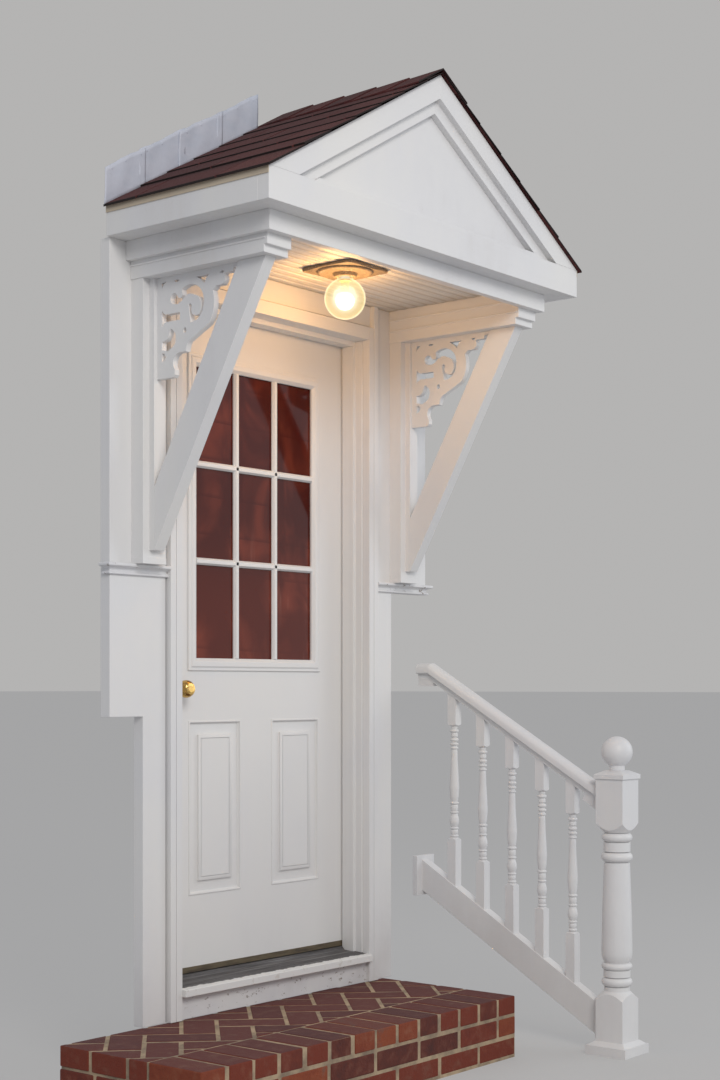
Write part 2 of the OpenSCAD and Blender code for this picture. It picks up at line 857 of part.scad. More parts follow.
// Right half of the handrail's section from the underside up to the crown, heights times k
function half_rail(k) = let (w = top_rail_w / 2, sub = sub_rail_w / 2, lip = sub_rail_d - top_rail_d)
    [for (p = concat([[sub, -top_rail_d], [sub, lip], [w - 3, lip], [w, lip + 3]],
        [for (a = [0 : 15 : 90]) [w * cos(a), rail_crown * (sin(a) - 1)]])) [p[0], p[1] * k]];

module rail_section(k) {
    half = half_rail(k);
    polygon(concat(half, [for (i = [len(half) - 2 : -1 : 0]) [-half[i][0], half[i][1]]]));
}

// The sloping stretch is cut upright at the newel and at the knee, where a fine joint parts it
// from the level one
module handrail() {
    knee = rail_wall - top_rail_level;
    past = 100;
    intersection() {
        translate([0, knee + past, top_rail_wall_z + past * rail_tan]) rotate([90 + rail_slope, 0, 0])
            linear_extrude((knee + newel_face + 2 * past) / cos(rail_slope)) rail_section(1);
        span(-top_rail_w, top_rail_w, -newel_face, knee - knee_joint, 0, top_rail_wall_z + top_rail_d);
    }
    translate([0, rail_wall, top_rail_wall_z]) rotate([90, 0, 0])
        linear_extrude(top_rail_level) rail_section(1 / cos(rail_slope));
}

// Blocks under the handrail's ends: a sloping one at the newel and a level one at the wall
module rail_blocks() {
    l = rail_block_l;
    t = rail_block_t;
    seat = 5;
    ease = 1;
    half = sub_rail_w / 2 - ease;
    along_x(-half, half) {
        translate([ease - newel_face, top_rail_low]) polygon([[0, seat], [l, l * rail_tan + seat],
            [l + t * sin(rail_slope), l * rail_tan - t * cos(rail_slope)], [0, -t / cos(rail_slope)]]);
        translate([rail_wall - wall_block_l, top_rail_wall_z - top_rail_v - t])
            square([wall_block_l - ease, t + seat]);
    }
}

module top_rail() {
    color(white) translate([rail_x, 0, 0]) {
        handrail();
        rail_blocks();
    }
}

// The rail with its plate on the wall and the strip on the newel's block
module bottom_rail() {
    plate_top = bottom_rail_wall_z + 4;
    strip_half = bottom_rail_t / 2 + 5;
    color(white) translate([rail_x, 0, 0]) {
        along_x(-bottom_rail_t / 2, bottom_rail_t / 2) polygon([[-newel_face, bottom_rail_z],
            [rail_wall, bottom_rail_wall_z], [rail_wall, bottom_rail_wall_z - bottom_rail_v],
            [-newel_face, bottom_rail_z - bottom_rail_v]]);
        span(-rail_plate_w / 2, rail_plate_w / 2, rail_wall - rail_plate_t, rail_wall,
            plate_top - rail_plate_h, plate_top);
        span(-strip_half, strip_half, -newel_face, newel_strip_t - newel_face,
            newel_plinth_h + 3, newel_base_h);
    }
}

module between_rails() {
    along_x(-baluster_w, baluster_w) polygon([[-newel_face, bottom_rail_z],
        [0, bottom_rail_z + newel_face * rail_tan], [0, top_rail_low + newel_face * rail_tan],
        [-newel_face, top_rail_low]]);
}

// A baluster's turned middle from its lower block up: base beads, vase, taper and neck beads
module baluster_outline() {
    m = baluster_w / 2;
    h = baluster_turned;
    polygon(concat([[0, 0], [m - 6, 0], [m - 6, 8]], bead(m - 2, 8, 17, 4),
        [[m - 4, 21], [m - 4, 31]], bead(m - 2, 35, 43, 4),
        [[m - 4, 47], [m - 1, 57], [m - 0.5, 66], [m - 2, 76], [m - 5, 85]], bead(m - 2, 90, 98, 4),
        [[m - 4, 103], [m - 4, 116]], bead(m - 1, 121, 131, 4),
        [[m - 4, 136], [m - 2, 148], [m, 180], [m - 2, h - 182], [m - 5, h - 134], [m - 6, h - 94]],
        bead(m - 3, h - 87, h - 79, 4), bead(m - 2, h - 74, h - 64, 4), bead(m - 2, h - 61, h - 47, 4),
        [[m - 5, h - 42], [m - 5, h - 34]], bead(m - 1, h - 29, h - 17, 4),
        [[m - 6, h - 15], [m - 6, h], [0, h]]));
}

module baluster(i) {
    out = baluster_first + i * baluster_pitch;
    lift = (newel_face - out) * rail_tan;
    high = top_rail_low + lift - baluster_block;
    low = high - baluster_turned;
    shoulder = 8;
    neck = baluster_w / 2 - 6.5;
    intersection() {
        translate([0, -out, 0]) {
            turned_block(baluster_w, bottom_rail_z + lift - baluster_w, low, 0, shoulder, neck);
            translate([0, 0, low]) rotate_extrude($fn = 48) baluster_outline();
            turned_block(baluster_w, high, high + baluster_block + baluster_w, shoulder, 0, neck);
        }
        between_rails();
    }
}

module balusters() {
    color(white) translate([rail_x, 0, 0]) for (i = [0 : balusters_n - 1]) baluster(i);
}

// The newel's turned shaft between its blocks: two beads, the swelling shaft and two beads
module newel_outline() {
    r = newel_w / 2;
    z0 = newel_base_h + newel_shoulder;
    z1 = newel_block_z - newel_shoulder;
    polygon(concat([[0, z0 - 5], [r - 8.5, z0 - 5], [r - 8.5, z0 + 12]], bead(r, z0 + 14, z0 + 43),
        [[r - 6.5, z0 + 45], [r - 6.5, z0 + 66]], bead(r, z0 + 68, z0 + 90),
        [[r - 6, z0 + 97], [r - 1, z0 + 110], [r, z0 + 125], [r - 2.5, (z0 + z1) / 2], [r - 8, z1 - 101]],
        bead(r + 1, z1 - 97, z1 - 65), [[r - 6.5, z1 - 63], [r - 6.5, z1 - 34]],
        bead(r, z1 - 32, z1 - 3), [[r - 6, z1], [r - 6, z1 + 5], [0, z1 + 5]]));
}

module newel_post() {
    w = newel_w / 2;
    p = newel_plinth_w / 2;
    cap = w + 5;
    step_z = newel_plinth_h - 12;
    color(white) translate([rail_x, -newel_out, 0]) {
        span(-p, p, -p, p, 0, step_z);
        translate([0, 0, step_z]) rotate(45)
            cylinder(h = 12, r1 = (p - 6) * sqrt(2), r2 = (w + 3) * sqrt(2), $fn = 4);
        turned_block(newel_w, step_z, newel_base_h, 0, newel_shoulder, w - 9);
        rotate_extrude($fn = 64) newel_outline();
        turned_block(newel_w, newel_block_z, newel_block_top, newel_shoulder, 0, w - 6.5);
        span(-cap, cap, -cap, cap, newel_block_top, newel_block_top + 14);
        translate([0, 0, newel_block_top + 14]) rotate(45)
            cylinder(h = newel_cap_h - 14, r1 = cap * sqrt(2), r2 = 28 * sqrt(2), $fn = 4);
    }
}

module newel_ball() {
    r = ball_d / 2;
    color(white) translate([rail_x, -newel_out, newel_block_top + newel_cap_h]) {
        cylinder(h = 16, d = 50, $fn = 48);
        translate([0, 0, 9 + r]) sphere(r = r, $fn = 64);
    }
}

// Door

module panel_places() {
    for (side = [-1, 1]) translate([side * (panel_gap + panel_w) / 2, 0, door_z + panel_foot + panel_h / 2])
        children();
}

module raised_panel_cut() {
    difference() {
        sloping_block(panel_w + 2, panel_h + 2, panel_w - 14, panel_h - 14, -1, panel_sink);
        sloping_block(panel_w - 110, panel_h - 110, panel_w - 60, panel_h - 60, -1, panel_sink + 1);
    }
}

module hinge_recesses(x, depth) {
    s = depth > 0 ? 0 : depth;
    for (z = hinge_heights) span(x + s, x + s + abs(depth), leaf_back - hinge_plate_w,
        leaf_back + 1, z - hinge_h / 2, z + hinge_h / 2);
}

module door_leaf() {
    w = door_w / 2;
    color(white) difference() {
        translate([0, 0, door_z]) linear_extrude(door_h)
            polygon([[-w + latch_bevel, leaf_y], [w, leaf_y], [w, leaf_back], [-w, leaf_back]]);
        translate([0, 0, door_z + glass_mid])
            span(-glass_w / 2, glass_w / 2, leaf_y - 1, leaf_back + 1, -glass_h / 2, glass_h / 2);
        translate([0, leaf_y, 0]) panel_places() raised_panel_cut();
        translate([0, leaf_back, 0]) panel_places() mirror([0, 1, 0]) raised_panel_cut();
        hinge_recesses(w, -hinge_plate_t);
    }
}

module door_glass() {
    mid = (leaf_y + leaf_back) / 2;
    color([0.75, 0.85, 0.9, 0.4]) translate([0, 0, door_z + glass_mid])
        span(-glass_w / 2, glass_w / 2, mid - glass_t / 2, mid + glass_t / 2, -glass_h / 2, glass_h / 2);
}

// One moulded frame: its face, two steps down to the leaf, a cove and the lip on the glass
module lite_frame(face, lip) {
    ow = glass_w + 2 * (lite_frame_w - lite_lip);
    oh = glass_h + 2 * (lite_frame_w - lite_lip);
    iw = glass_w - 2 * lite_lip;
    ih = glass_h - 2 * lite_lip;
    difference() {
        union() {
            sloping_block(ow - 4, oh - 4, ow, oh, face + 3, face + lite_frame_out);
            sloping_block(ow - 30, oh - 30, ow - 18, oh - 18, face, face + 4);
            span(-glass_w / 2, glass_w / 2, face + 3, lip, -glass_h / 2, glass_h / 2);
        }
        sloping_block(iw + 24, ih + 24, iw, ih, face - 1, face + lite_frame_out);
        span(-iw / 2, iw / 2, face, lip + 1, -ih / 2, ih / 2);
    }
}

module lite_frames() {
    mid = (leaf_y + leaf_back) / 2;
    color(white) translate([0, 0, door_z + glass_mid]) {
        lite_frame(leaf_y - lite_frame_out, mid - glass_t / 2);
        mirror([0, 1, 0]) lite_frame(-leaf_back - lite_frame_out, -mid - glass_t / 2);
    }
}

module knob(face, dir) {
    translate([0, face, 0]) rotate([dir * 90, 0, 0]) rotate_extrude($fn = 48)
        polygon(concat([[0, 0], [33, 0], [33, 3], [28, 8], [13, 11], [11, 30]],
            arc([0, 46], knob_d / 2, -50, 50, 12), [[10, 67], [0, 67]]));
}

module door_knobs() {
    color(brass) translate([-door_w / 2 + knob_backset, 0, door_z + knob_up]) {
        knob(leaf_y, 1);
        knob(leaf_back, -1);
    }
}

// Five knuckles a hinge: the frame's leaf has the first, third and fifth, the door's the others
module knuckle(z, k) {
    step = hinge_h / 5;
    z0 = z - hinge_h / 2 + k * step + hinge_clear / 2;
    translate([hinge_x, hinge_y, z0]) difference() {
        cylinder(h = step - hinge_clear, r = hinge_r, $fn = 32);
        translate([0, 0, -1]) cylinder(h = step + 1, r = hinge_pin_r, $fn = 32);
    }
}

module knuckle_arm(z, k, dir) {
    step = hinge_h / 5;
    z0 = z - hinge_h / 2 + k * step + hinge_clear / 2;
    plate_x = dir * (door_gap / 2);
    x0 = min(plate_x, plate_x + dir * hinge_plate_t);
    difference() {
        span(hinge_x + x0, hinge_x + x0 + hinge_plate_t, leaf_back, hinge_y, z0, z0 + step - hinge_clear);
        translate([hinge_x, hinge_y, z0 - 1]) cylinder(h = step + 2, r = hinge_pin_r + 0.3, $fn = 32);
    }
}

module frame_hinges() {
    color(brass) for (z = hinge_heights) {
        span(jamb_x, jamb_x + hinge_plate_t, leaf_back - hinge_plate_w, leaf_back,
            z - hinge_h / 2, z + hinge_h / 2);
        for (k = [0, 2, 4]) {
            knuckle(z, k);
            knuckle_arm(z, k, 1);
        }
        translate([hinge_x, hinge_y, z - hinge_h / 2 - 2])
            cylinder(h = hinge_h + 4, r = hinge_pin_r - hinge_clear, $fn = 32);
        translate([hinge_x, hinge_y, z - hinge_h / 2 - 4]) cylinder(h = 4, r = hinge_r, $fn = 32);
        translate([hinge_x, hinge_y, z + hinge_h / 2]) cylinder(h = 4, r = hinge_r, $fn = 32);
    }
}

module door_hinges() {
    color(brass) for (z = hinge_heights) {
        span(door_w / 2 - hinge_plate_t, door_w / 2, leaf_back - hinge_plate_w, leaf_back,
            z - hinge_h / 2, z + hinge_h / 2);
        for (k = [1, 3]) {
            knuckle(z, k);
            knuckle_arm(z, k, -1);
        }
    }
}

brick_stoop();
door_riser();
door_sill();
left_jamb();
right_jamb();
head_jamb();
left_casing();
right_casing();
head_casing();
left_side_board();
right_side_board();
wall_ledger();
left_post();
right_post();
post_caps();
left_arm();
right_arm();
left_brace();
right_brace();
left_fretwork();
right_fretwork();
front_frieze();
side_friezes();
soffit();
ceiling();
front_fascia();
side_fascias();
tympanum();
left_rake();
right_rake();
left_roof_deck();
right_roof_deck();
left_shingles();
right_shingles();
ridge_cap();
drip_edges();
wall_flashing();
ridge_board();
rafters();
ceiling_battens();
lamp_plate();
lamp_globe();
lamp_bulb();
top_rail();
bottom_rail();
balusters();
newel_post();
newel_ball();
door_leaf();
door_glass();
lite_frames();
door_knobs();
frame_hinges();
door_hinges();
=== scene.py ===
import json
import math

import bmesh
import bpy
import numpy as np
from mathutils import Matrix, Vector

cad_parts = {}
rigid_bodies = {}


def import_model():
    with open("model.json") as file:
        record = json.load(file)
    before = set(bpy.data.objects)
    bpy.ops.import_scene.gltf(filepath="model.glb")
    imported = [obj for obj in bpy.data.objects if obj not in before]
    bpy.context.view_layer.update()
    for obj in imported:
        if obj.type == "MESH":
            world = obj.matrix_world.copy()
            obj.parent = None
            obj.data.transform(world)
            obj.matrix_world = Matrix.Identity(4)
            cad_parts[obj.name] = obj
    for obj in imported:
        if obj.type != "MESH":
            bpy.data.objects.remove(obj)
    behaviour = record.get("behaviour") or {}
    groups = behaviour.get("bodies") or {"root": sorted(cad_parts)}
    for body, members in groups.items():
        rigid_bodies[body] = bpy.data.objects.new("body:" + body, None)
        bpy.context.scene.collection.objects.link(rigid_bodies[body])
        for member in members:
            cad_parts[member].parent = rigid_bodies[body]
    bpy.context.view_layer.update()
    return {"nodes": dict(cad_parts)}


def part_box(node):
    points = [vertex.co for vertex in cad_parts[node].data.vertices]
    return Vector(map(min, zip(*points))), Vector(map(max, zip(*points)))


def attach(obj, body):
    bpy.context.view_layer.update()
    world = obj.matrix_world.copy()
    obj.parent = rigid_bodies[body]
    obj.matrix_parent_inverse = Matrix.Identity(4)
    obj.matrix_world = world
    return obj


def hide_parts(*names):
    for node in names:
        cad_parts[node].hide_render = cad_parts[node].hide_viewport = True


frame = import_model()
cadNodes = frame["nodes"]
sceneObjects = bpy.context.scene.collection.objects
mm = 0.001
roofRise = 7 / 12
roofSlope = math.atan(roofRise)
braceTurn = math.radians(28.4)    # of the braces, from upright
shapeRandom = np.random.default_rng(7)
print("frame loaded:", len(cadNodes), "nodes")

# Camera. It stands level to the left of the stoop and looks across it to the door.
view = {
    "place": (-4.112, -3.660, 1.189),
    "turn": 50.9,          # degrees to the right of +Y
    "focal": 1741,         # in photograph pixels
    "tall": 1080,          # of the photograph, in pixels
    "horizon": 686,        # pixel row of the horizon
    "sensor": 36,
}
lens = bpy.data.cameras.new("porchCamera")
lens.sensor_width = view["sensor"]
lens.lens = view["sensor"] * view["focal"] / view["tall"]
lens.shift_y = (view["horizon"] - view["tall"] / 2) / view["tall"]
camera = bpy.data.objects.new("porchCamera", lens)
camera.location = view["place"]
camera.rotation_euler = (math.radians(90), 0, -math.radians(view["turn"]))
sceneObjects.link(camera)
bpy.context.scene.camera = camera
bpy.context.scene.view_settings.view_transform = "Standard"


# A method that adds a Math node after the wire it is called on
def operator(kind, swapped=False):
    def apply(self, other):
        first, second = (other, self) if swapped else (self, other)
        return self.nodes.node("Math", {0: first, 1: second}, operation=kind)
    return apply


# An output of a node. Sums can be written with it.
class Wire:
    def __init__(self, nodes, socket):
        self.nodes = nodes
        self.socket = socket

    __add__, __radd__ = operator("ADD"), operator("ADD", True)
    __sub__, __rsub__ = operator("SUBTRACT"), operator("SUBTRACT", True)
    __mul__, __rmul__ = operator("MULTIPLY"), operator("MULTIPLY", True)
    __truediv__, __pow__ = operator("DIVIDE"), operator("POWER")
    greater = operator("MAXIMUM")

    # A smooth step from 0 to 1 as the value goes from low to high
    def step(self, low, high):
        return self.nodes.node("MapRange", {"Value": self, "From Min": low, "From Max": high},
                               interpolation_type="SMOOTHSTEP")

    # A vector's part along an axis
    def axis(self, letter):
        return self.nodes.node("SeparateXYZ", {0: self}, "xyz".index(letter))


# A tree of shader nodes
class Nodes:
    def __init__(self, tree):
        self.tree = tree

    # Any node: the values or links of its sockets, which output counts, and its settings
    def node(self, kind, values=None, out=0, **settings):
        made = self.tree.nodes.new("ShaderNode" + kind)
        for key, value in settings.items():
            setattr(made, key, value)
        for key, value in (values or {}).items():
            self.feed(made.inputs[key], value)
        return Wire(self, made.outputs[out])

    # Gives a socket a link, a value or a colour by its name
    def feed(self, socket, value):
        if isinstance(value, str):
            value = colours[value]
        if isinstance(value, Wire):
            self.tree.links.new(value.socket, socket)
        elif isinstance(value, tuple) and socket.type == "RGBA":
            socket.default_value = (*value, 1)
        else:
            socket.default_value = value

    # 1 for a ray that shows the surface, straight or by way of gloss or glass
    def shown(self):
        straight, gloss, glass = [
            self.node("LightPath", out="Is " + kind + " Ray")
            for kind in ("Camera", "Glossy", "Transmission")]
        return straight.greater(gloss).greater(glass)


# A material under construction
class Finish(Nodes):
    def __init__(self, name):
        self.material = bpy.data.materials.new(name)
        self.material.use_nodes = True
        super().__init__(self.material.node_tree)
        self.shader = self.tree.nodes["Principled BSDF"]
        self.place = self.node("TexCoord", out="Object")

    # Cloudy noise. The scale is in features per metre, one number or one along each axis.
    def noise(self, scale, detail=3, roughness=0.5, turn=(0, 0, 0), distortion=0):
        scale = scale if isinstance(scale, tuple) else (scale,) * 3
        spread = self.node("Mapping", {"Vector": self.place, "Scale": scale, "Rotation": turn})
        return self.node("TexNoise", {"Vector": spread, "Scale": 1, "Detail": detail,
                                      "Roughness": roughness, "Distortion": distortion})

    # Colours along a value, by stops of position and colour
    def ramp(self, value, *stops):
        made = self.node("ValToRGB", {"Fac": value})
        elements = made.socket.node.color_ramp.elements
        while len(elements) < len(stops):
            elements.new(0.5)
        for element, (position, colour) in zip(elements, stops):
            element.position = position
            element.color = (*colours[colour], 1)
        return made

    def mix(self, share, first, second):
        return self.node("Mix", {0: share, 6: first, 7: second}, out=2, data_type="RGBA")

    # A colour with others laid over it, each by its share
    def layers(self, body, *coats):
        for share, colour in coats:
            body = self.mix(share, body, colour)
        return body

    def attribute(self, name):
        return self.node("Attribute", out="Fac", attribute_name=name)

    # How squarely the surface is turned away: 0 in the middle of a ball, 1 at its outline
    def facing(self):
        return self.node("LayerWeight", {"Blend": 0.5}, out="Facing")

    # Sets the shader's own sockets
    def link(self, **sockets):
        for key, value in sockets.items():
            self.feed(self.shader.inputs[key.replace("_", " ")], value)
        return self.material

    # Colour, roughness, and a relief with its strength and depth
    def cover(self, colour, roughness, relief, strength, depth, **sockets):
        bump = self.node("Bump", {"Height": relief, "Strength": strength, "Distance": depth})
        return self.link(Base_Color=colour, Roughness=roughness, Normal=bump, **sockets)


# Lowest and highest corners of a node, as arrays
def cornersOf(node):
    return [np.array(corner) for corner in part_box(node)]


def middleOf(node):
    return sum(cornersOf(node)) / 2


# Mesh from arrays of points and of faces. Each array of faces has its own number of corners.
def layMesh(name, points, faceSets):
    mesh = bpy.data.meshes.new(name)
    faces = [face for faceSet in faceSets for face in np.asarray(faceSet).tolist()]
    mesh.from_pydata(np.reshape(points, (-1, 3)).tolist(), [], faces)
    mesh.validate()
    return mesh


def setTone(mesh, values, name="tone"):
    layer = mesh.attributes.new(name, "FLOAT", "POINT")
    layer.data.foreach_set("value", np.asarray(values, np.float32).ravel())


# Points closer than the merge distance become one, and the faces of a closed mesh turn outwards
def turnOutwards(mesh, merge=0):
    work = bmesh.new()
    work.from_mesh(mesh)
    if merge:
        bmesh.ops.remove_doubles(work, verts=work.verts[:], dist=merge)
    bmesh.ops.recalc_face_normals(work, faces=work.faces[:])
    work.to_mesh(mesh)
    work.free()
    return mesh


# Puts a mesh into the scene as a piece of the porch. Its edges are sharp past the smooth angle,
# or all of them are eased by a bevel.
def addPiece(mesh, finish, body="porch", replaces=None, smooth=None, bevel=0, segments=2):
    piece = bpy.data.objects.new(mesh.name, mesh)
    sceneObjects.link(piece)
    mesh.materials.append(finishes[finish])
    if bevel:
        smooth = 180
    mesh.polygons.foreach_set("use_smooth", [smooth is not None] * len(mesh.polygons))
    if smooth is not None:
        mesh.set_sharp_from_angle(angle=math.radians(smooth))
    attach(piece, body)
    if replaces:
        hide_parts(replaces)
    if bevel:
        eased = piece.modifiers.new("easedEdges", "BEVEL")
        eased.width = bevel
        eased.segments = segments
        eased.limit_method = "ANGLE"
        eased.angle_limit = math.radians(32)
        eased.harden_normals = True
    return piece


# Gives an open sheet its thickness
def addWall(piece, thickness, offset):
    wall = piece.modifiers.new("wall", "SOLIDIFY")
    wall.thickness = thickness
    wall.offset = offset


# A merged copy of a node's mesh, with flat faces joined again
def mergedCopy(node):
    source = cadNodes[node].data
    points = np.array([vertex.co for vertex in source.vertices], np.float32)
    source.calc_loop_triangles()
    corners = np.array([triangle.vertices for triangle in source.loop_triangles])
    grid = np.round(points / (0.02 * mm)).astype(np.int64)
    _, first, inverse = np.unique(grid, axis=0, return_index=True, return_inverse=True)
    triangles = inverse.ravel()[corners]
    whole = (triangles != np.roll(triangles, 1, axis=1)).all(axis=1)
    mesh = layMesh(node + "Eased", points[first], [triangles[whole]])
    work = bmesh.new()
    work.from_mesh(mesh)
    bmesh.ops.dissolve_limit(work, angle_limit=math.radians(0.6), verts=work.verts[:],
                             edges=work.edges[:])
    work.to_mesh(mesh)
    work.free()
    return mesh


# Corners and faces of a box from 0 to 1
unitCorners = np.array([[x, y, z] for z in (0, 1) for y in (0, 1) for x in (0, 1)], float)
unitFaces = np.array([[0, 2, 3, 1], [4, 5, 7, 6], [0, 1, 5, 4], [2, 6, 7, 3], [0, 4, 6, 2],
                      [1, 3, 7, 5]])


def boxFaces(count):
    return (unitFaces + 8 * np.arange(count)[:, None, None]).reshape(-1, 4)


# Corners and faces of many boxes: lows and highs are arrays of lowest and highest corners
def boxArrays(lows, highs):
    lows, highs = np.asarray(lows, float), np.asarray(highs, float)
    return lows[:, None] + unitCorners * (highs - lows)[:, None], boxFaces(len(lows))


# Quads of a grid with the given rows and columns, closed round in either direction if asked
def gridFaces(rows, columns, closeRows=False, closeColumns=False):
    r = np.arange(rows if closeRows else rows - 1)
    c = np.arange(columns if closeColumns else columns - 1)
    r, c = np.meshgrid(r, c, indexing="ij")
    r2 = (r + 1) % rows
    c2 = (c + 1) % columns
    quads = [r * columns + c, r * columns + c2, r2 * columns + c2, r2 * columns + c]
    return np.stack(quads, -1).reshape(-1, 4)


# Joins parts, each of which is an array of points and one of quads
def joinParts(parts):
    pointSets = [np.reshape(points, (-1, 3)) for points, quads in parts]
    starts = np.cumsum([0] + [len(points) for points in pointSets[:-1]])
    quadSets = [quads + start for (points, quads), start in zip(parts, starts)]
    return np.concatenate(pointSets), np.concatenate(quadSets)


# Mesh of closed rings, one after the other. A ring shrunk to a point becomes a pole.
def layRings(name, rings):
    faces = gridFaces(len(rings), rings.shape[1], closeColumns=True)
    return turnOutwards(layMesh(name, rings, [faces]), merge=0.002 * mm)


print("camera and tools ready")

# Colours, as linear values
colours = {
    "paint": (0.80, 0.79, 0.77),
    # The next colour is a lavender painted shade tint, laid in patches
    "paintCoolShade": (0.66, 0.675, 0.755),
    "paintBlue": (0.56, 0.60, 0.69),
    "paintDirt": (0.33, 0.29, 0.24),
    "paintCream": (0.76, 0.69, 0.58),
    "bareGrey": (0.27, 0.22, 0.18),
    "caulk": (0.62, 0.58, 0.52),
    "jointDust": (0.44, 0.36, 0.27),
    "zincPale": (0.50, 0.51, 0.53),
    "brickDark": (0.070, 0.020, 0.016),
    "brickRed": (0.180, 0.030, 0.013),
    "brickOrange": (0.270, 0.062, 0.022),
    "brickAsh": (0.085, 0.045, 0.046),
    "brickTopShade": (0.094, 0.038, 0.040),
    "mortar": (0.52, 0.39, 0.25),
    "mortarDark": (0.25, 0.19, 0.135),
    "shingleDark": (0.014, 0.006, 0.007),
    "shingleRed": (0.078, 0.013, 0.013),
    "shinglePink": (0.21, 0.062, 0.046),
    "shingleEdgeAndShade": (0.014, 0.008, 0.008),
    "weathered": (0.165, 0.160, 0.162),
    "weatheredPale": (0.30, 0.295, 0.30),
    "weatheredDark": (0.060, 0.057, 0.058),
    "tan": (0.58, 0.49, 0.37),
    "timber": (0.48, 0.31, 0.16),
    "timberDark": (0.22, 0.12, 0.055),
    "rust": (0.18, 0.090, 0.046),
    "zinc": (0.26, 0.21, 0.155),
    "grime": (0.060, 0.045, 0.034),
    "brass": (0.66, 0.43, 0.14),
    "brassDark": (0.20, 0.115, 0.035),
    "bronze": (0.17, 0.135, 0.085),
    "bronzeDark": (0.085, 0.068, 0.05),
    # The pane colours below are a painted reflection of red siding
    "pane": (0.060, 0.007, 0.004),
    "paneReflectedLight": (0.215, 0.040, 0.020),
    "paneReflectedStreak": (0.36, 0.15, 0.11),
    "globe": (0.02, 0.017, 0.013),
    "globeGlareHeart": (1.0, 0.93, 0.70),
    "globeGlowGold": (1.0, 0.80, 0.37),
    "globeRimHighlight": (1.0, 0.86, 0.55),
    "bulb": (0.20, 0.16, 0.10),
    "bulbHeart": (1.0, 0.90, 0.66),
    "bulbRim": (1.0, 0.66, 0.26),
    "bulbNeck": (0.10, 0.05, 0.016),
}


# Three scales: one along the named axis, the other across it
def alongAxis(axis, along, across):
    return tuple(along if letter == axis else across for letter in "xyz")


# Satin paint on boards. The brush marks run along the given axis; dirt gathers in patches, in runs
# below each other and near the ground; peeling paint bares grey wood in chips. Cool lavender
# patches laid at random are painted shade tint.
def makePaint(name, along, turn=(0, 0, 0), dirt=1.0, brush=1.0, tint=0.35, peeling=False):
    finish = Finish(name)
    strokes = finish.noise(alongAxis(along, 3, 260), detail=4, roughness=0.62, turn=turn)
    cloud = finish.noise((2.2, 2.2, 1.3), detail=5, roughness=0.6)
    specks = finish.noise(170, detail=2, roughness=0.7)
    nearGround = 1 - finish.place.axis("z").step(0.16, 0.75)
    runs = finish.noise((34, 34, 1.6), roughness=0.6)
    grime = (cloud + nearGround * 0.16 + runs * 0.12).step(0.62, 0.86) * 0.30 * dirt
    fleck = (specks * 0.72 + cloud * 0.28).step(0.665, 0.72) * 0.22 * dirt
    # The cool patches are a painted lavender shade tint, by the tint's share
    coat = finish.layers("paint", (cloud.step(0.3, 0.72) * tint, "paintCoolShade"), (grime, "caulk"),
                         (fleck, "paintDirt"))
    ripple = finish.noise(45, detail=2)
    uneven = finish.noise((11, 11, 7), detail=2)
    relief = strokes * 0.9 + ripple * 0.8 + uneven * 3.0
    if peeling:
        chips = finish.noise((46, 46, 70), detail=6, roughness=0.74)
        bare = (chips * 0.82 + cloud * 0.18).step(0.58, 0.592)
        coat = finish.mix(bare * 0.85, coat, "bareGrey")
        relief = relief - bare * 1.6
    return finish.cover(coat, 0.32 + 0.24 * strokes + grime * 0.5, relief, 0.36 * brush, 0.8 * mm)


# Thick paint over sheet metal: runs, lumps and dull bluish patches, rubbed to grey in places
def makeFlashingPaint():
    finish = Finish("flashingPaint")
    lumps = finish.noise(60, detail=4, roughness=0.6)
    waves = finish.noise((14, 14, 22))
    scrapes = finish.noise((30, 30, 150), detail=4, roughness=0.7)
    # Patches of the cool painted shade tint
    cool = (waves * 0.8 + finish.attribute("tone") * 0.2).step(0.25, 0.65) * 0.7
    rubbed = (scrapes * 0.7 + waves * 0.3).step(0.60, 0.68) * 0.5
    coat = finish.layers("paintBlue", (cool, "paintCoolShade"), (rubbed, "zincPale"))
    return finish.cover(coat, 0.36 + 0.3 * lumps, lumps * 0.7 + waves * 2, 0.55, 1.6 * mm)


# Ceiling paint: cream with age, dust in the joints and soot specks round the lamp
def makeCeilingPaint():
    finish = Finish("ceilingPaint")
    under = cornersOf("ceiling")[0][2]
    lampAt = (*middleOf("lamp_plate")[:2], cornersOf("lamp_plate")[1][2])
    strokes = finish.noise((3, 240, 240), detail=4, roughness=0.6)
    cloud = finish.noise((3, 5, 5), detail=4, roughness=0.6)
    specks = finish.noise(120, roughness=0.75)
    joint = finish.place.axis("z").step(under + 0.8 * mm, under + 2 * mm)
    away = finish.node("VectorMath", {0: finish.place, 1: lampAt}, "Value", operation="DISTANCE")
    near = 1 - away.step(0.11, 0.24)
    sootAndShade = (specks * 0.8 + near * 0.16).step(0.60, 0.66)
    coat = finish.layers("paint", (cloud.step(0.35, 0.75) * 0.6, "paintCream"),
                         (joint * 0.55, "jointDust"), (sootAndShade * (0.12 + near * 0.6), "grime"))
    return finish.cover(coat, 0.38 + 0.2 * cloud, strokes, 0.3, 0.6 * mm)


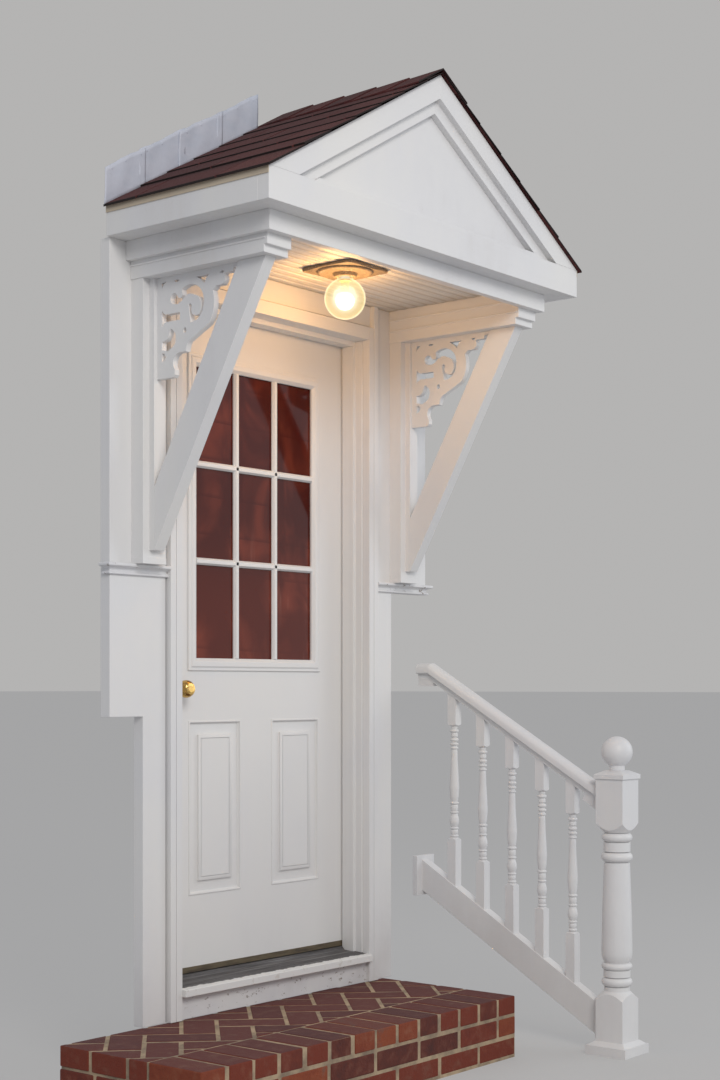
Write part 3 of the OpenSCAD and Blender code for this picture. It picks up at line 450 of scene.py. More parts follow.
# Bricks: each has its own tone; the face is gritty, with dark scorched patches, and the tops carry
# a darker, purplish painted shade
def makeBrick():
    finish = Finish("brickFinish")
    grit = finish.noise(520, roughness=0.7)
    blotch = finish.noise(26, detail=4, roughness=0.6)
    pits = finish.noise(95, detail=4, roughness=0.65)
    body = finish.ramp(
        finish.attribute("tone") * 0.8 + blotch * 0.42 - 0.12, (0.0, "brickDark"),
        (0.32, "brickRed"), (0.62, "brickRed"), (0.86, "brickOrange"), (1.0, "brickAsh"))
    # Painted shade: faces that look up are darker and more purple
    upward = finish.node("TexCoord", out="Normal").axis("z").step(0.55, 0.9)
    dust = (blotch + grit * 0.35).step(0.66, 0.98) * 0.24
    body = finish.layers(body, (upward * 0.62, "brickTopShade"), (dust, "mortarDark"),
                         (grit.step(0.56, 0.74) * 0.5, "brickDark"))
    relief = grit * 0.8 + blotch * 1.2 + pits * 2.2
    return finish.cover(body, 0.80 + 0.15 * grit, relief, 0.8, 1.8 * mm)


def makeMortar():
    finish = Finish("mortarFinish")
    sand = finish.noise(600, roughness=0.75)
    patch = finish.noise(14, detail=4, roughness=0.6)
    body = finish.mix((patch + sand * 0.3).step(0.48, 0.86), "mortar", "mortarDark")
    return finish.cover(body, 0.9, sand + patch * 2, 0.9, 2.2 * mm)


# Asphalt shingles: mineral granules of mixed maroon tones, and a tone for each tab. A tab gets a
# band of painted shade just below the one above it, a dark line along its own lower edge that is
# partly its cut edge and partly painted shade, and a black cut edge at the front of the roof.
def makeShingle():
    finish = Finish("shingleFinish")
    granules = finish.node("TexVoronoi", {"Vector": finish.place, "Scale": 620}, "Color")
    grain = finish.node("SeparateColor", {"Color": granules})
    weather = finish.noise(7, detail=4, roughness=0.6)
    body = finish.ramp(
        grain * 0.55 + finish.attribute("tone") * 0.3 + weather * 0.25, (0.0, "shingleDark"),
        (0.5, "shingleRed"), (0.8, "shingleRed"), (1.0, "shinglePink"))
    down = finish.attribute("down")        # 0 at a tab's upper end, 1 at its lower edge
    # Painted shade: the course above shades a band just below its lower edge
    sootAndShade = (down.step(0.44, 0.50) - down.step(0.505, 0.55)) * 0.65
    front = cornersOf("left_shingles")[0][1]
    rake = 1 - finish.place.axis("y").step(front + 0.4 * mm, front + 1.8 * mm)
    # A black cut edge at the front of the roof; along each tab's lower edge, the cut edge widened
    # by painted shade
    edge = rake.greater(down.step(0.992, 0.999))
    body = finish.layers(body, (weather.step(0.5, 0.8) * 0.35, "shingleDark"),
                         (sootAndShade, "shingleDark"), (edge, "shingleEdgeAndShade"))
    return finish.cover(body, 0.92, grain, 0.55, 1.0 * mm)


# Sawn softwood with growth bands along the board
def makeTimber(name, along):
    finish = Finish(name)
    bands = finish.noise(alongAxis(along, 2.2, 70), detail=5, roughness=0.6, distortion=0.6)
    fibre = finish.noise(alongAxis(along, 9, 900), detail=2)
    body = finish.layers("timber", ((bands + fibre * 0.22).step(0.42, 0.78), "timberDark"),
                         (finish.noise(5).step(0.45, 0.75) * 0.5, "weathered"))
    return finish.cover(body, 0.66 + 0.2 * fibre, bands + fibre, 0.5, 1.2 * mm)


# The sill's worn grey top: paint left in the grain, and a chalky painted nose
def makeSill():
    finish = Finish("sillFinish")
    front = cornersOf("door_sill")[0][1]
    fibre = finish.noise((7, 620, 620), detail=4, roughness=0.65)
    bands = finish.noise((3.2, 90, 90))
    chips = finish.noise(42, detail=5, roughness=0.7)
    ragged = finish.place.axis("y") + (chips - 0.5) * 0.030
    nose = 1 - ragged.step(front + 23 * mm, front + 29 * mm)
    bare = finish.layers("weatheredDark", (fibre.step(0.42, 0.66), "weathered"),
                         (bands.step(0.5, 0.75) * 0.6, "weatheredPale"))
    chalk = finish.mix(chips.step(0.58, 0.66) * 0.55, "paint", "caulk")
    return finish.cover(finish.mix(nose, bare, chalk), 0.72, fibre * 0.6 + chips * 1.4, 0.5,
                        1.2 * mm)


# Smooth metal or the coating on it: smears of a second tone that are also duller
def makeMetal(name, metallic, scale, tones, band, share, shine, dulling):
    finish = Finish(name)
    smear = finish.noise(scale, detail=4, roughness=0.6)
    return finish.link(Base_Color=finish.mix(smear.step(*band) * share, *tones),
                       Metallic=metallic, Roughness=shine + dulling * smear)


# Old ceiling plate: zinc with rust blooms, grime and flakes of ceiling paint
def makeRust():
    finish = Finish("rustyPlateFinish")
    bloom = finish.noise(34, detail=6, roughness=0.68)
    fine = finish.noise(240, detail=4, roughness=0.7)
    dirty = (fine * 0.6 + bloom * 0.4).step(0.47, 0.56) * 0.75
    flakes = (bloom * 0.5 + fine * 0.5).step(0.545, 0.575) * 0.5
    body = finish.layers("zinc", (bloom.step(0.46, 0.66) * 0.7, "rust"), (dirty, "grime"),
                         (flakes, "caulk"))
    return finish.cover(body, 0.55 + 0.3 * bloom, fine + bloom * 2, 0.8, 1.5 * mm,
                        Metallic=0.12 * (1 - bloom.step(0.4, 0.6)))


# Panes: opaque, with a painted reflection of red siding in them: dark red, soft pale blooms, faint
# level bands of its laps and pale streaks low down
def makePane():
    finish = Finish("paneFinish")
    foot = cornersOf("door_glass")[0][2]
    bloom = finish.noise((5.2, 5.2, 3.4), distortion=0.9)
    streaks = finish.noise((38, 38, 2.6), detail=4, roughness=0.6)
    x, z = finish.place.axis("x"), finish.place.axis("z")
    # Painted reflection: the siding's laps as faint, slightly sloping bands
    band = finish.node("Math", {0: z / 0.118 + x * 0.25}, operation="FRACT")
    shade = 1 - (1 - band.step(0.0, 0.14)) * 0.6
    low = 1 - z.step(foot + 150 * mm, foot + 480 * mm)
    # Painted reflection: pale blooms, and a paler lower part with streaks
    pale = bloom.step(0.42, 0.72) * 0.7 * shade + low * 0.25
    streaked = (streaks * 0.6 + bloom * 0.4).step(0.56, 0.70) * low * 0.4
    return finish.link(Roughness=0.06, Specular_IOR_Level=0.09, Base_Color=finish.layers(
        "pane", (pale, "paneReflectedLight"), (streaked, "paneReflectedStreak")))


# Globe: clear glass with the bulb's glow painted into it: a painted soft white glare in the middle,
# golden glow round it, and a painted pale highlight on the outline
def makeGlobe():
    finish = Finish("globeFinish")
    facing = finish.facing()
    # Painted glare of the bulb, in the middle of the ball as seen
    halo = 1 - facing.step(0.06, 0.40)
    # Painted highlight along the outline
    edge = facing.step(0.64, 0.84)
    glow = finish.layers("globeGlowGold", (halo, "globeGlareHeart"), (edge, "globeRimHighlight"))
    return finish.cover("globe", 0.03, finish.noise(60, detail=2), 0.12, 0.5 * mm,
                        Alpha=0.16 + 0.22 * halo + 0.10 * facing ** 2.0 + 0.20 * edge,
                        Emission_Color=glow, Emission_Strength=1.12)


def makeBulb():
    finish = Finish("bulbFinish")
    foot = cornersOf("lamp_bulb")[0][2]
    rim = finish.facing().step(0.40, 0.96)
    neck = finish.place.axis("z").step(foot + 40 * mm, foot + 60 * mm)
    glow = finish.layers("bulbHeart", (rim, "bulbRim"), (neck, "bulbNeck"))
    return finish.link(Base_Color="bulb", Roughness=0.4, Emission_Color=glow,
                       Emission_Strength=5.0, Alpha=(1 - rim * 0.92) * (1 - neck * 0.6))


finishes = {
    "paintUp": makePaint("paintUpright", "z"),
    "paintX": makePaint("paintAcross", "x"),
    "paintY": makePaint("paintOut", "y"),
    "paintTurned": makePaint("paintTurned", "z", brush=0.6, dirt=0.7),
    "paintPeeling": makePaint("paintPeeling", "x", dirt=1.5, brush=1.3, tint=0.7, peeling=True),
    "paintLeftRake": makePaint("paintLeftRake", "x", turn=(0, roofSlope, 0)),
    "paintRightRake": makePaint("paintRightRake", "x", turn=(0, -roofSlope, 0)),
    "paintBrace": makePaint("paintBrace", "z", turn=(-braceTurn, 0, 0)),
    "door": makePaint("doorPaint", "z", dirt=0.5, brush=0.55, tint=0.2),
    "flashing": makeFlashingPaint(),
    "ceiling": makeCeilingPaint(),
    "brick": makeBrick(),
    "mortar": makeMortar(),
    "shingle": makeShingle(),
    "sill": makeSill(),
    "timberY": makeTimber("timberOut", "y"),
    "timberX": makeTimber("timberAcross", "x"),
    "drip": makeMetal("dripFinish", 0.0, (9, 3, 60), ("tan", "weathered"), (0.5, 0.8), 0.4,
                      0.38, 0.2),
    "brass": makeMetal("brassFinish", 1.0, 90, ("brass", "brassDark"), (0.48, 0.72), 0.7,
                       0.08, 0.24),
    "sweep": makeMetal("sweepFinish", 0.4, (12, 90, 90), ("bronze", "bronzeDark"), (0.4, 0.7),
                       1.0, 0.42, 0.3),
    "rust": makeRust(),
    "pane": makePane(),
    "globe": makeGlobe(),
    "bulb": makeBulb(),
}

print("materials made:", len(finishes))

# Stoop. Bricks in three courses: headers along the front edge on top with a herringbone at 45
# degrees behind them, stretchers below.
stoop = {
    "brick": (194 * mm, 92 * mm, 57 * mm),
    "joint": 11 * mm,
    "recess": 3 * mm,      # mortar behind the bricks' faces
    "eased": 5 * mm,
    "wander": 1.6 * mm,    # of the edge bricks' places
    "courses": 3,
    "fieldEased": 2.5 * mm,
    "fieldSink": 1 * mm,   # the herringbone below the headers
    "fieldRough": 0.8 * mm,
    "fieldShift": (-30 * mm, 50 * mm),
    "smallest": 9 * mm,    # width of a cut brick
}


# Each row is a line of bricks of given lengths, from a start and across a given span
def layBricks():
    low, high = cornersOf("brick_stoop")
    brickL, brickW, brickH = stoop["brick"]
    course = (high[2] - low[2]) / stoop["courses"]
    headers = round((high[0] - low[0]) / (brickW + stoop["joint"]))
    pitch = (high[0] - low[0]) / headers
    joint = pitch - brickW
    lows, highs = [], []

    def row(axis, start, lengths, across, z):
        for length in lengths:
            a = [0, 0, z]
            b = [0, 0, z + brickH]
            a[axis], b[axis] = start, start + length
            a[1 - axis], b[1 - axis] = across
            lows.append(a)
            highs.append(b)
            start += length + joint

    frontRow = (low[1], low[1] + brickW)
    headerRow = (low[1], low[1] + brickL)
    backRow = (high[1] - brickW, high[1])
    left = (low[0] + joint / 2, low[0] + joint / 2 + brickW)
    right = (high[0] - joint / 2 - brickW, high[0] - joint / 2)
    stretcher = 2 * pitch - joint
    for level in range(stoop["courses"]):
        z = low[2] + (level + 1) * course - brickH
        if level == 2:
            row(0, left[0], [brickW] * headers, headerRow, z)
            continue
        if level == 1:
            sideStart, side = low[1] + brickL + joint, [brickL]
            for across in (left, right):
                row(1, low[1], [brickL], across, z)
            row(0, left[1] + joint, [stretcher] * (headers // 2 - 1), frontRow, z)
        else:
            sideStart, side = low[1] + brickW + joint, [brickL, brickL]
            row(0, left[0], [stretcher] * (headers // 2), frontRow, z)
        side.append(high[1] - sideStart - len(side) * (brickL + joint))    # up to the back
        for across in (left, right):
            row(1, sideStart, side, across, z)
        back = [stretcher] * (headers // 2 - 1) + [brickW - joint]
        row(0, low[0] + brickW + 2 * joint, back, backRow, z)
    return boxArrays(lows, highs), joint


# Keeps the part of a convex outline on one side of a line: each corner and the crossing after
# it, in turn, where they count
def clipOutline(outline, axis, limit, sign):
    gap = sign * (outline[:, axis] - limit)
    after = np.roll(gap, -1)
    share = gap / np.where(gap == after, 1, gap - after)
    crossing = outline + (np.roll(outline, -1, axis=0) - outline) * share[:, None]
    both = np.stack([outline, crossing], 1).reshape(-1, 2)
    return both[np.stack([gap >= 0, gap * after < 0], 1).ravel()]


# Herringbone of unit width: a brick lies along where column minus row is a multiple of four and
# stands where it is three more; the whole turned by 45 degrees and cut to the field
def layHerringbone(joint):
    low, high = cornersOf("brick_stoop")
    unit = stoop["brick"][1] + joint
    n = np.arange(-14, 15)
    column, row = [v.ravel() for v in np.meshgrid(n, n, indexing="ij")]
    start = np.stack([column, row], -1) * unit + joint / 2
    corners = np.array([[0, 0], [1, 0], [1, 1], [0, 1]])
    sizes = np.array([[2 * unit - joint, unit - joint], [unit - joint, 2 * unit - joint]])
    flat = np.concatenate([start[(column - row) % 4 == rest][:, None] + corners * size
                           for rest, size in zip((0, 3), sizes)])
    turn = math.radians(45)
    spin = np.array([[math.cos(turn), math.sin(turn)], [-math.sin(turn), math.cos(turn)]])
    outlines = flat @ spin + middleOf("brick_stoop")[:2] + stoop["fieldShift"]
    front = low[1] + stoop["brick"][0] + joint
    limits = [(1, front, 1), (1, high[1], -1), (0, low[0] + joint / 2, 1),
              (0, high[0] - joint / 2, -1)]
    points, tones, faces, first = [], [], {}, 0
    for outline in outlines:
        for axis, limit, sign in limits:
            outline = clipOutline(outline, axis, limit, sign) if len(outline) else outline
        count = len(outline)
        if count < 3 or np.ptp(outline, axis=0).min() < stoop["smallest"]:
            continue
        top = high[2] - stoop["fieldSink"] - abs(shapeRandom.normal(0, stoop["fieldRough"]))
        for z in (top - stoop["brick"][2], top):
            points.append(np.column_stack([outline, np.full(count, z)]))
        around = np.arange(count)
        after = (around + 1) % count
        faces.setdefault(count, []).extend([first + around[::-1], first + count + around])
        sides = np.stack([around, after, after + count, around + count], -1)
        faces.setdefault("sides", []).extend(sides + first)
        tones.append(np.full(2 * count, shapeRandom.random() * 0.8))
        first += 2 * count
    return np.concatenate(points), list(faces.values()), np.concatenate(tones)


def buildStoop():
    (points, faces), joint = layBricks()
    wander = shapeRandom.normal(0, stoop["wander"], (len(points), 1, 3)) * (1, 1, 0.3)
    wander[..., 1:] = np.abs(wander[..., 1:]) * (1, -1)    # backwards and down only
    mesh = layMesh("edgeBricks", points + wander, [faces])
    setTone(mesh, np.repeat(shapeRandom.random(len(points)), 8))
    addPiece(mesh, "brick", replaces="brick_stoop", bevel=stoop["eased"], segments=3)

    points, faces, tones = layHerringbone(joint)
    mesh = layMesh("herringboneBricks", points, faces)
    setTone(mesh, tones)
    addPiece(mesh, "brick", bevel=stoop["fieldEased"])

    low, high = cornersOf("brick_stoop")
    inset = stoop["recess"]
    side = joint / 2 + inset
    points, faces = boxArrays([low + (side, inset, 0)], [high - (side, inset, inset)])
    addPiece(layMesh("mortarBed", points, [faces]), "mortar")


buildStoop()
print("stoop laid")

# Roof covering. Each course is a row of tabs; a tab is a thin wedge whose lower edge stands on
# the course below.
roof = {
    "exposure": 127 * mm,
    "tab": 305 * mm,
    "slot": 7 * mm,
    "shift": 110 * mm,     # of the first tab, out past the front
    "gap": 0.4 * mm,       # under a tab
    "butt": 9.5 * mm,      # height of a tab's lower edge above the boards
    "eaveButt": 8 * mm,    # the same at the eave
    "head": 2.5 * mm,      # height of a tab's upper end
    "uneven": 0.25 * mm,   # of these heights
    "headLap": 6 * mm,     # upper end under the course two above
    "starter": 160 * mm,   # width of the strip under the last course
    "starterIn": 1.5 * mm,    # from the eave
    "starterThick": 2.5 * mm,
    "narrowest": 20 * mm,  # part of a tab at the front or the back
    "firstStep": 75 * mm,  # first butt below the ridge, measured level
    "ragged": 1.3 * mm,    # of the butts' line
    "slab": 11 * mm,       # thickness of the node's slab
}
caps = {
    "count": 5,
    "lap": 30 * mm,
    "top": 16.5 * mm,      # of the node above the boards
    "lifts": (9.4 * mm, 14.0 * mm, 6.2 * mm, 9.8 * mm),    # under and top side, front and back end
}


def buildShingles(side):
    node = "left_shingles" if side < 0 else "right_shingles"
    low, high = cornersOf(node)
    middle = high[0] if side < 0 else low[0]
    reach = high[0] - low[0]
    apex = high[2] - roof["slab"] / math.cos(roofSlope)
    butts = roof["firstStep"] + roof["exposure"] * math.cos(roofSlope) * np.arange(7)
    butts = [*butts[butts < reach - 0.05], reach]
    tabs, tones = [], []
    for course, butt in enumerate(butts):
        head = butts[course - 2] - roof["headLap"] if course > 1 else 0.0
        first = low[1] + (course % 2) * roof["tab"] / 2 - roof["shift"] - roof["tab"]
        for start in np.arange(first, high[1] + roof["tab"], roof["tab"]):
            y0 = max(low[1], start + roof["slot"] / 2)
            y1 = min(high[1], start + roof["tab"] - roof["slot"] / 2)
            if y1 - y0 < roof["narrowest"]:
                continue
            out = min(butt + shapeRandom.normal(0, roof["ragged"]), reach)
            tabs.append((head, out, y0, y1, roof["butt"] if butt < reach else roof["eaveButt"]))
            tones.append(shapeRandom.random())
    strip = (reach - roof["starter"], reach - roof["starterIn"])
    tabs.append((*strip, low[1], high[1], roof["eaveButt"]))
    tones.append(0.2)
    head, out, y0, y1, tip = np.array(tabs).T[..., None]
    # Eight corners of each wedge: level distance from the ridge, Y, and height above the boards
    u, v, w = unitCorners.T
    away = head + (out - head) * u
    along = y0 + (y1 - y0) * v
    lift = (roof["head"] + (tip - roof["head"]) * u) * w + roof["gap"]
    lift = lift + shapeRandom.normal(0, roof["uneven"], head.shape) * w
    lift[-1] = roof["gap"] / 4 + roof["starterThick"] * w
    x = middle + side * (away + lift * math.sin(roofSlope))
    x = np.clip(x, middle - reach, middle + reach)
    z = apex - away * roofRise + lift * math.cos(roofSlope)
    faces = boxFaces(len(tabs))[:, ::side]
    mesh = layMesh(node + "Tabs", np.stack([x, along, z], -1), [faces])
    setTone(mesh, np.repeat(tones, 8))
    setTone(mesh, np.tile(u, len(tabs)), "down")
    addPiece(mesh, "shingle", replaces=node, bevel=1.0 * mm, segments=1)


# Ridge caps: folded pieces along the ridge, each with its front edge on the one behind. A cap's
# section has left foot, ridge and right foot, below and above, at both ends.
def buildRidge():
    low, high = cornersOf("ridge_cap")
    middle = middleOf("ridge_cap")[0]
    count = caps["count"]
    exposure = (high[1] - low[1]) / count
    wing = (high[0] - low[0]) / 2
    apex = high[2] - caps["top"] / math.cos(roofSlope)
    front = low[1] + np.arange(count) * exposure
    y = np.stack([front, np.minimum(front + exposure + caps["lap"], high[1])], -1)[..., None, None]
    lift = np.reshape(caps["lifts"], (2, 2, 1))
    across = np.array([-1, 0, 1])
    x = middle + across * (wing + (lift - roof["slab"]) * math.sin(roofSlope) * 0.3)
    x = np.clip(x, low[0], high[0])
    z = apex - np.abs(across) * wing * roofRise + lift / math.cos(roofSlope)
    z = np.minimum(z, high[2])
    base = np.array([[0, 1, 4, 3], [1, 2, 5, 4], [6, 9, 10, 7], [7, 10, 11, 8], [3, 4, 10, 9],
                     [4, 5, 11, 10], [0, 6, 7, 1], [1, 7, 8, 2], [0, 3, 9, 6], [2, 8, 11, 5]])
    faces = (base + 12 * np.arange(count)[:, None, None]).reshape(-1, 4)
    mesh = layMesh("ridgeCaps", np.stack(np.broadcast_arrays(x, y, z), -1), [faces])
    setTone(mesh, np.repeat(shapeRandom.random(count), 12))
    setTone(mesh, np.tile(np.repeat([0.0, 0.9], 6), count), "down")
    addPiece(mesh, "shingle", replaces="ridge_cap", bevel=0.8 * mm, segments=1)


buildShingles(-1)
buildShingles(1)
buildRidge()
print("roof covered")

# Flashing: lapped upright pieces of sheet along the hood's back, painted over many times
flashing = {
    "pieces": 4,           # on each side
    "grid": (25, 9),       # points along and up a piece
    "overlap": 26 * mm,
    "bulge": 6 * mm,
    "sheet": 1.2 * mm,
    "foot": 3 * mm,        # lower edge above the roof boards, upright, behind the shingles' ends
    "head": 119.2 * mm,    # upper edge
    "start": 120.9 * mm,   # level distance off the ridge where it begins
    "nailsAt": (0.16, 0.52, 0.86),
}
nails = {"radius": 4.5 * mm, "rise": 1.6 * mm, "sides": 10}


def wave(share, count, phase):
    return np.sin(2 * math.pi * share * count + phase)


# A piece is a grid along the slope and up. How far it stands off the back is a few waves of
# sine, nothing at its foot, and its lower end stands off to lap over the next; the upper edge is
# uneven by a sum of two sines.
def buildFlashing():
    low, high = cornersOf("wall_flashing")
    middle = middleOf("wall_flashing")[0]
    apex = cornersOf("left_roof_deck")[1][2]
    reach = (high[0] - low[0]) / 2
    step = (reach - flashing["start"]) / flashing["pieces"]
    stations, levels = flashing["grid"]
    along, up = np.meshgrid(np.linspace(0, 1, stations), np.linspace(0, 1, levels), indexing="ij")
    parts, tones, nailPlaces = [], [], []
    for side in (-1, 1):
        for i in range(flashing["pieces"]):
            phase = shapeRandom.random(5) * 2 * math.pi
            near = flashing["start"] + i * step
            far = min(near + step + flashing["overlap"], reach)
            away = near + (far - near) * along
            ragged = 2.0 * wave(along, 1.1, phase[0]) + 0.7 * wave(along, 4.1, phase[1]) - 3
            tall = flashing["foot"] + (flashing["head"] - flashing["foot"] + ragged * mm) * up
            tall -= 4 * mm * up * shapeRandom.random()
            swell = wave(along, 0.9, phase[2]) * np.sin(math.pi * up * 1.1 + 0.2)
            swell += 0.5 * wave(along, 2.3, phase[3] + up * 2)
            off = flashing["bulge"] * (0.22 + 0.22 * swell) * np.minimum(up * 3, 1)
            stand = flashing["sheet"] + np.maximum(off, 0)
            lap = (0.6 + 1.8 * (i % 2) + 2.5 * along ** 6 * up) * mm
            grid = np.stack([middle + side * away, high[1] - 0.6 * mm - stand - lap,
                             apex - away * roofRise + tall], -1)
            parts.append((grid, gridFaces(stations, levels)[:, ::side]))
            tones.append(np.full(stations * levels, shapeRandom.random()))
            for share in flashing["nailsAt"]:
                nailPlaces.append(grid[int(share * (stations - 1)), levels - 2])
    points, faces = joinParts(parts)
    mesh = layMesh("flashingSheets", points, [faces])
    setTone(mesh, np.concatenate(tones))
    piece = addPiece(mesh, "flashing", replaces="wall_flashing", smooth=60)
    addWall(piece, flashing["sheet"], 0)
    return np.array(nailPlaces)


# Domed nail heads: four rings of falling radius about an axis that points forwards
def buildNails(places):
    sides = nails["sides"]
    angle = np.arange(sides) * 2 * math.pi / sides
    profile = np.array([[1.0, 0.6], [1.0, 0.0], [0.72, -0.6], [0.3, -1.0]])
    radius, rise = (profile * (nails["radius"], nails["rise"])).T[..., None]
    rings = np.stack([radius * np.cos(angle), rise + 0 * angle, radius * np.sin(angle)], -1)
    start = 4 * sides * np.arange(len(places))[:, None, None]
    quads = gridFaces(4, sides, closeColumns=True) + start
    ends = [(np.arange(sides) + 3 * sides + start), (np.arange(sides)[::-1] + start)]
    mesh = layMesh("flashingNails", places[:, None, None] + rings,
                   [quads.reshape(-1, 4)] + [end.reshape(-1, sides) for end in ends])
    addPiece(turnOutwards(mesh), "flashing", smooth=50)


buildNails(buildFlashing())
print("flashing dressed")

# Ceiling: beaded boards from side to side
ceiling = {
    "board": 41 * mm,
    "groove": 1.9 * mm,    # depth of the V joint
    "bead": 2.8 * mm,      # radius of the bead beside it
    "thick": 7 * mm,
}


# The section across one board: a V joint, a half-round bead, a quirk and the flat; repeated along
# Y and carried along X
def buildCeiling():
    low, high = cornersOf("ceiling")
    count = round((high[1] - low[1]) / ceiling["board"])
    pitch = (high[1] - low[1]) / count
    depth, bead = ceiling["groove"], ceiling["bead"]
    turn = np.linspace(0, math.pi, 7)[1:]
    quirk = depth * 1.2 + 2 * bead
    across = [0, depth * 0.6, *(depth * 0.6 + bead * (1 - np.cos(turn))), quirk,
              quirk + depth * 0.4]
    height = [depth, bead * 0.5, *(bead * 0.5 * (1 - np.sin(turn))), bead * 0.9, 0]
    y = np.append((low[1] + pitch * np.arange(count)[:, None] + across).ravel(), high[1])
    z = np.append(np.tile(height, count), 0) + low[2]
    xs = np.linspace(low[0], high[0], 12)
    grid = np.stack(np.broadcast_arrays(xs[:, None], y, z), -1)
    mesh = layMesh("ceilingBoards", grid, [gridFaces(len(xs), len(y))])
    addWall(addPiece(mesh, "ceiling", replaces="ceiling", smooth=40), ceiling["thick"], -1)


buildCeiling()
print("ceiling boarded")

# Boards and turned pieces that keep their node's shape and get eased edges: finish, width of the
# easing in millimetres, and the nodes
boards = [
    ("paintUp", 1.4, ["left_jamb", "right_jamb", "left_casing", "right_casing",
                      "left_side_board", "right_side_board", "left_post", "right_post"]),
    ("paintX", 1.4, ["head_jamb", "head_casing", "wall_ledger", "front_frieze",
                     "front_fascia", "tympanum"]),
    ("paintPeeling", 1.4, ["door_riser", "post_caps"]),
    ("paintY", 1.4, ["left_arm", "right_arm", "side_friezes", "soffit", "side_fascias",
                     "top_rail", "bottom_rail"]),
    ("paintBrace", 1.4, ["left_brace", "right_brace"]),
    ("paintLeftRake", 1.4, ["left_rake"]),
    ("paintRightRake", 1.4, ["right_rake"]),
    ("paintTurned", 1.0, ["left_fretwork", "right_fretwork"]),
    ("paintTurned", 1.2, ["newel_post"]),
    ("paintTurned", 0.8, ["balusters"]),
    ("paintTurned", 0.6, ["newel_ball"]),
    ("sill", 3.0, ["door_sill"]),
    ("door", 1.0, ["door_leaf"]),
    ("door", 1.2, ["lite_frames"]),
]
for finish, width, names in boards:
    for name in names:
        addPiece(mergedCopy(name), finish, "door" if finish == "door" else "porch", name,
                 bevel=width * mm, segments=3 if finish == "sill" else 2)
print("boards and turned pieces eased")

# Beads along both faces of the hood's two arms
beads = {"rises": (36 * mm, 72 * mm), "tall": 6 * mm, "out": 3.5 * mm, "back": 6 * mm}


def buildBeads():
    lows, highs = [], []
    for node in ("left_arm", "right_arm"):
        low, high = cornersOf(node)
        for rise in beads["rises"]:
            for x in (low[0], high[0]):
                lows.append([x - beads["out"], low[1] + beads["back"], low[2] + rise])
                highs.append([x + beads["out"], high[1], low[2] + rise + beads["tall"]])
    points, faces = boxArrays(lows, highs)
    addPiece(layMesh("armBeads", points, [faces]), "paintY", bevel=2.2 * mm, segments=3)


buildBeads()

# Finishes of the nodes that stay as they are
plain = {
    "timberY": ["left_roof_deck", "right_roof_deck", "ridge_board", "ceiling_battens"],
    "timberX": ["rafters"],
    "drip": ["drip_edges"],
    "bulb": ["lamp_bulb"],
    "pane": ["door_glass"],
    "brass": ["door_knobs", "frame_hinges", "door_hinges"],
}
for finish, names in plain.items():
    for name in names:
        for slot in cadNodes[name].material_slots:
            slot.material = finishes[finish]
print("beads laid, other nodes painted")

# Lamp: a sheet metal plate with a low ring round its pan, and the globe in it. The edge is a list
# of rings, each a share of the plate's outline and a drop below the ceiling; the pan's profile
# is radius and height. Both are in millimetres.
lamp = {
    "plate": 98 * mm,      # half its width
    "edge": [(0.0, 0.4), (0.99, 0.4), (1.0, 1.2), (1.0, 8.4), (0.985, 9.8), (0.955, 9.6),
             (0.93, 8.2), (0.0, 8.2)],
    "lip": 9,              # rings that drop further wave up and down
    "pan": [(0, -5), (86, -5), (87, -9), (85, -12.5), (81, -14.8), (77, -14.8), (73, -13),
            (68, -11.5), (52, -12), (39, -14.5), (34, -25), (27.5, -27), (26.5, -20),
            (17, -19), (17, -37.5), (0, -37.5)],
    "globe": 63.4 * mm,    # radius
    "middle": 63.5 * mm,   # the globe's centre above its foot
    "wall": 2.2 * mm,
    "neck": 25 * mm,       # radius of the globe's neck
}


# A closed profile of radius and height turned about an upright axis
def turnProfile(name, profile, centre, sides=72):
    profile = np.asarray(profile, float)
    angle = np.arange(sides) * 2 * math.pi / sides
    return layRings(name, np.stack([centre[0] + profile[:, :1] * np.cos(angle),
                                    centre[1] + profile[:, :1] * np.sin(angle),
                                    centre[2] + profile[:, 1:] + 0 * angle], -1))


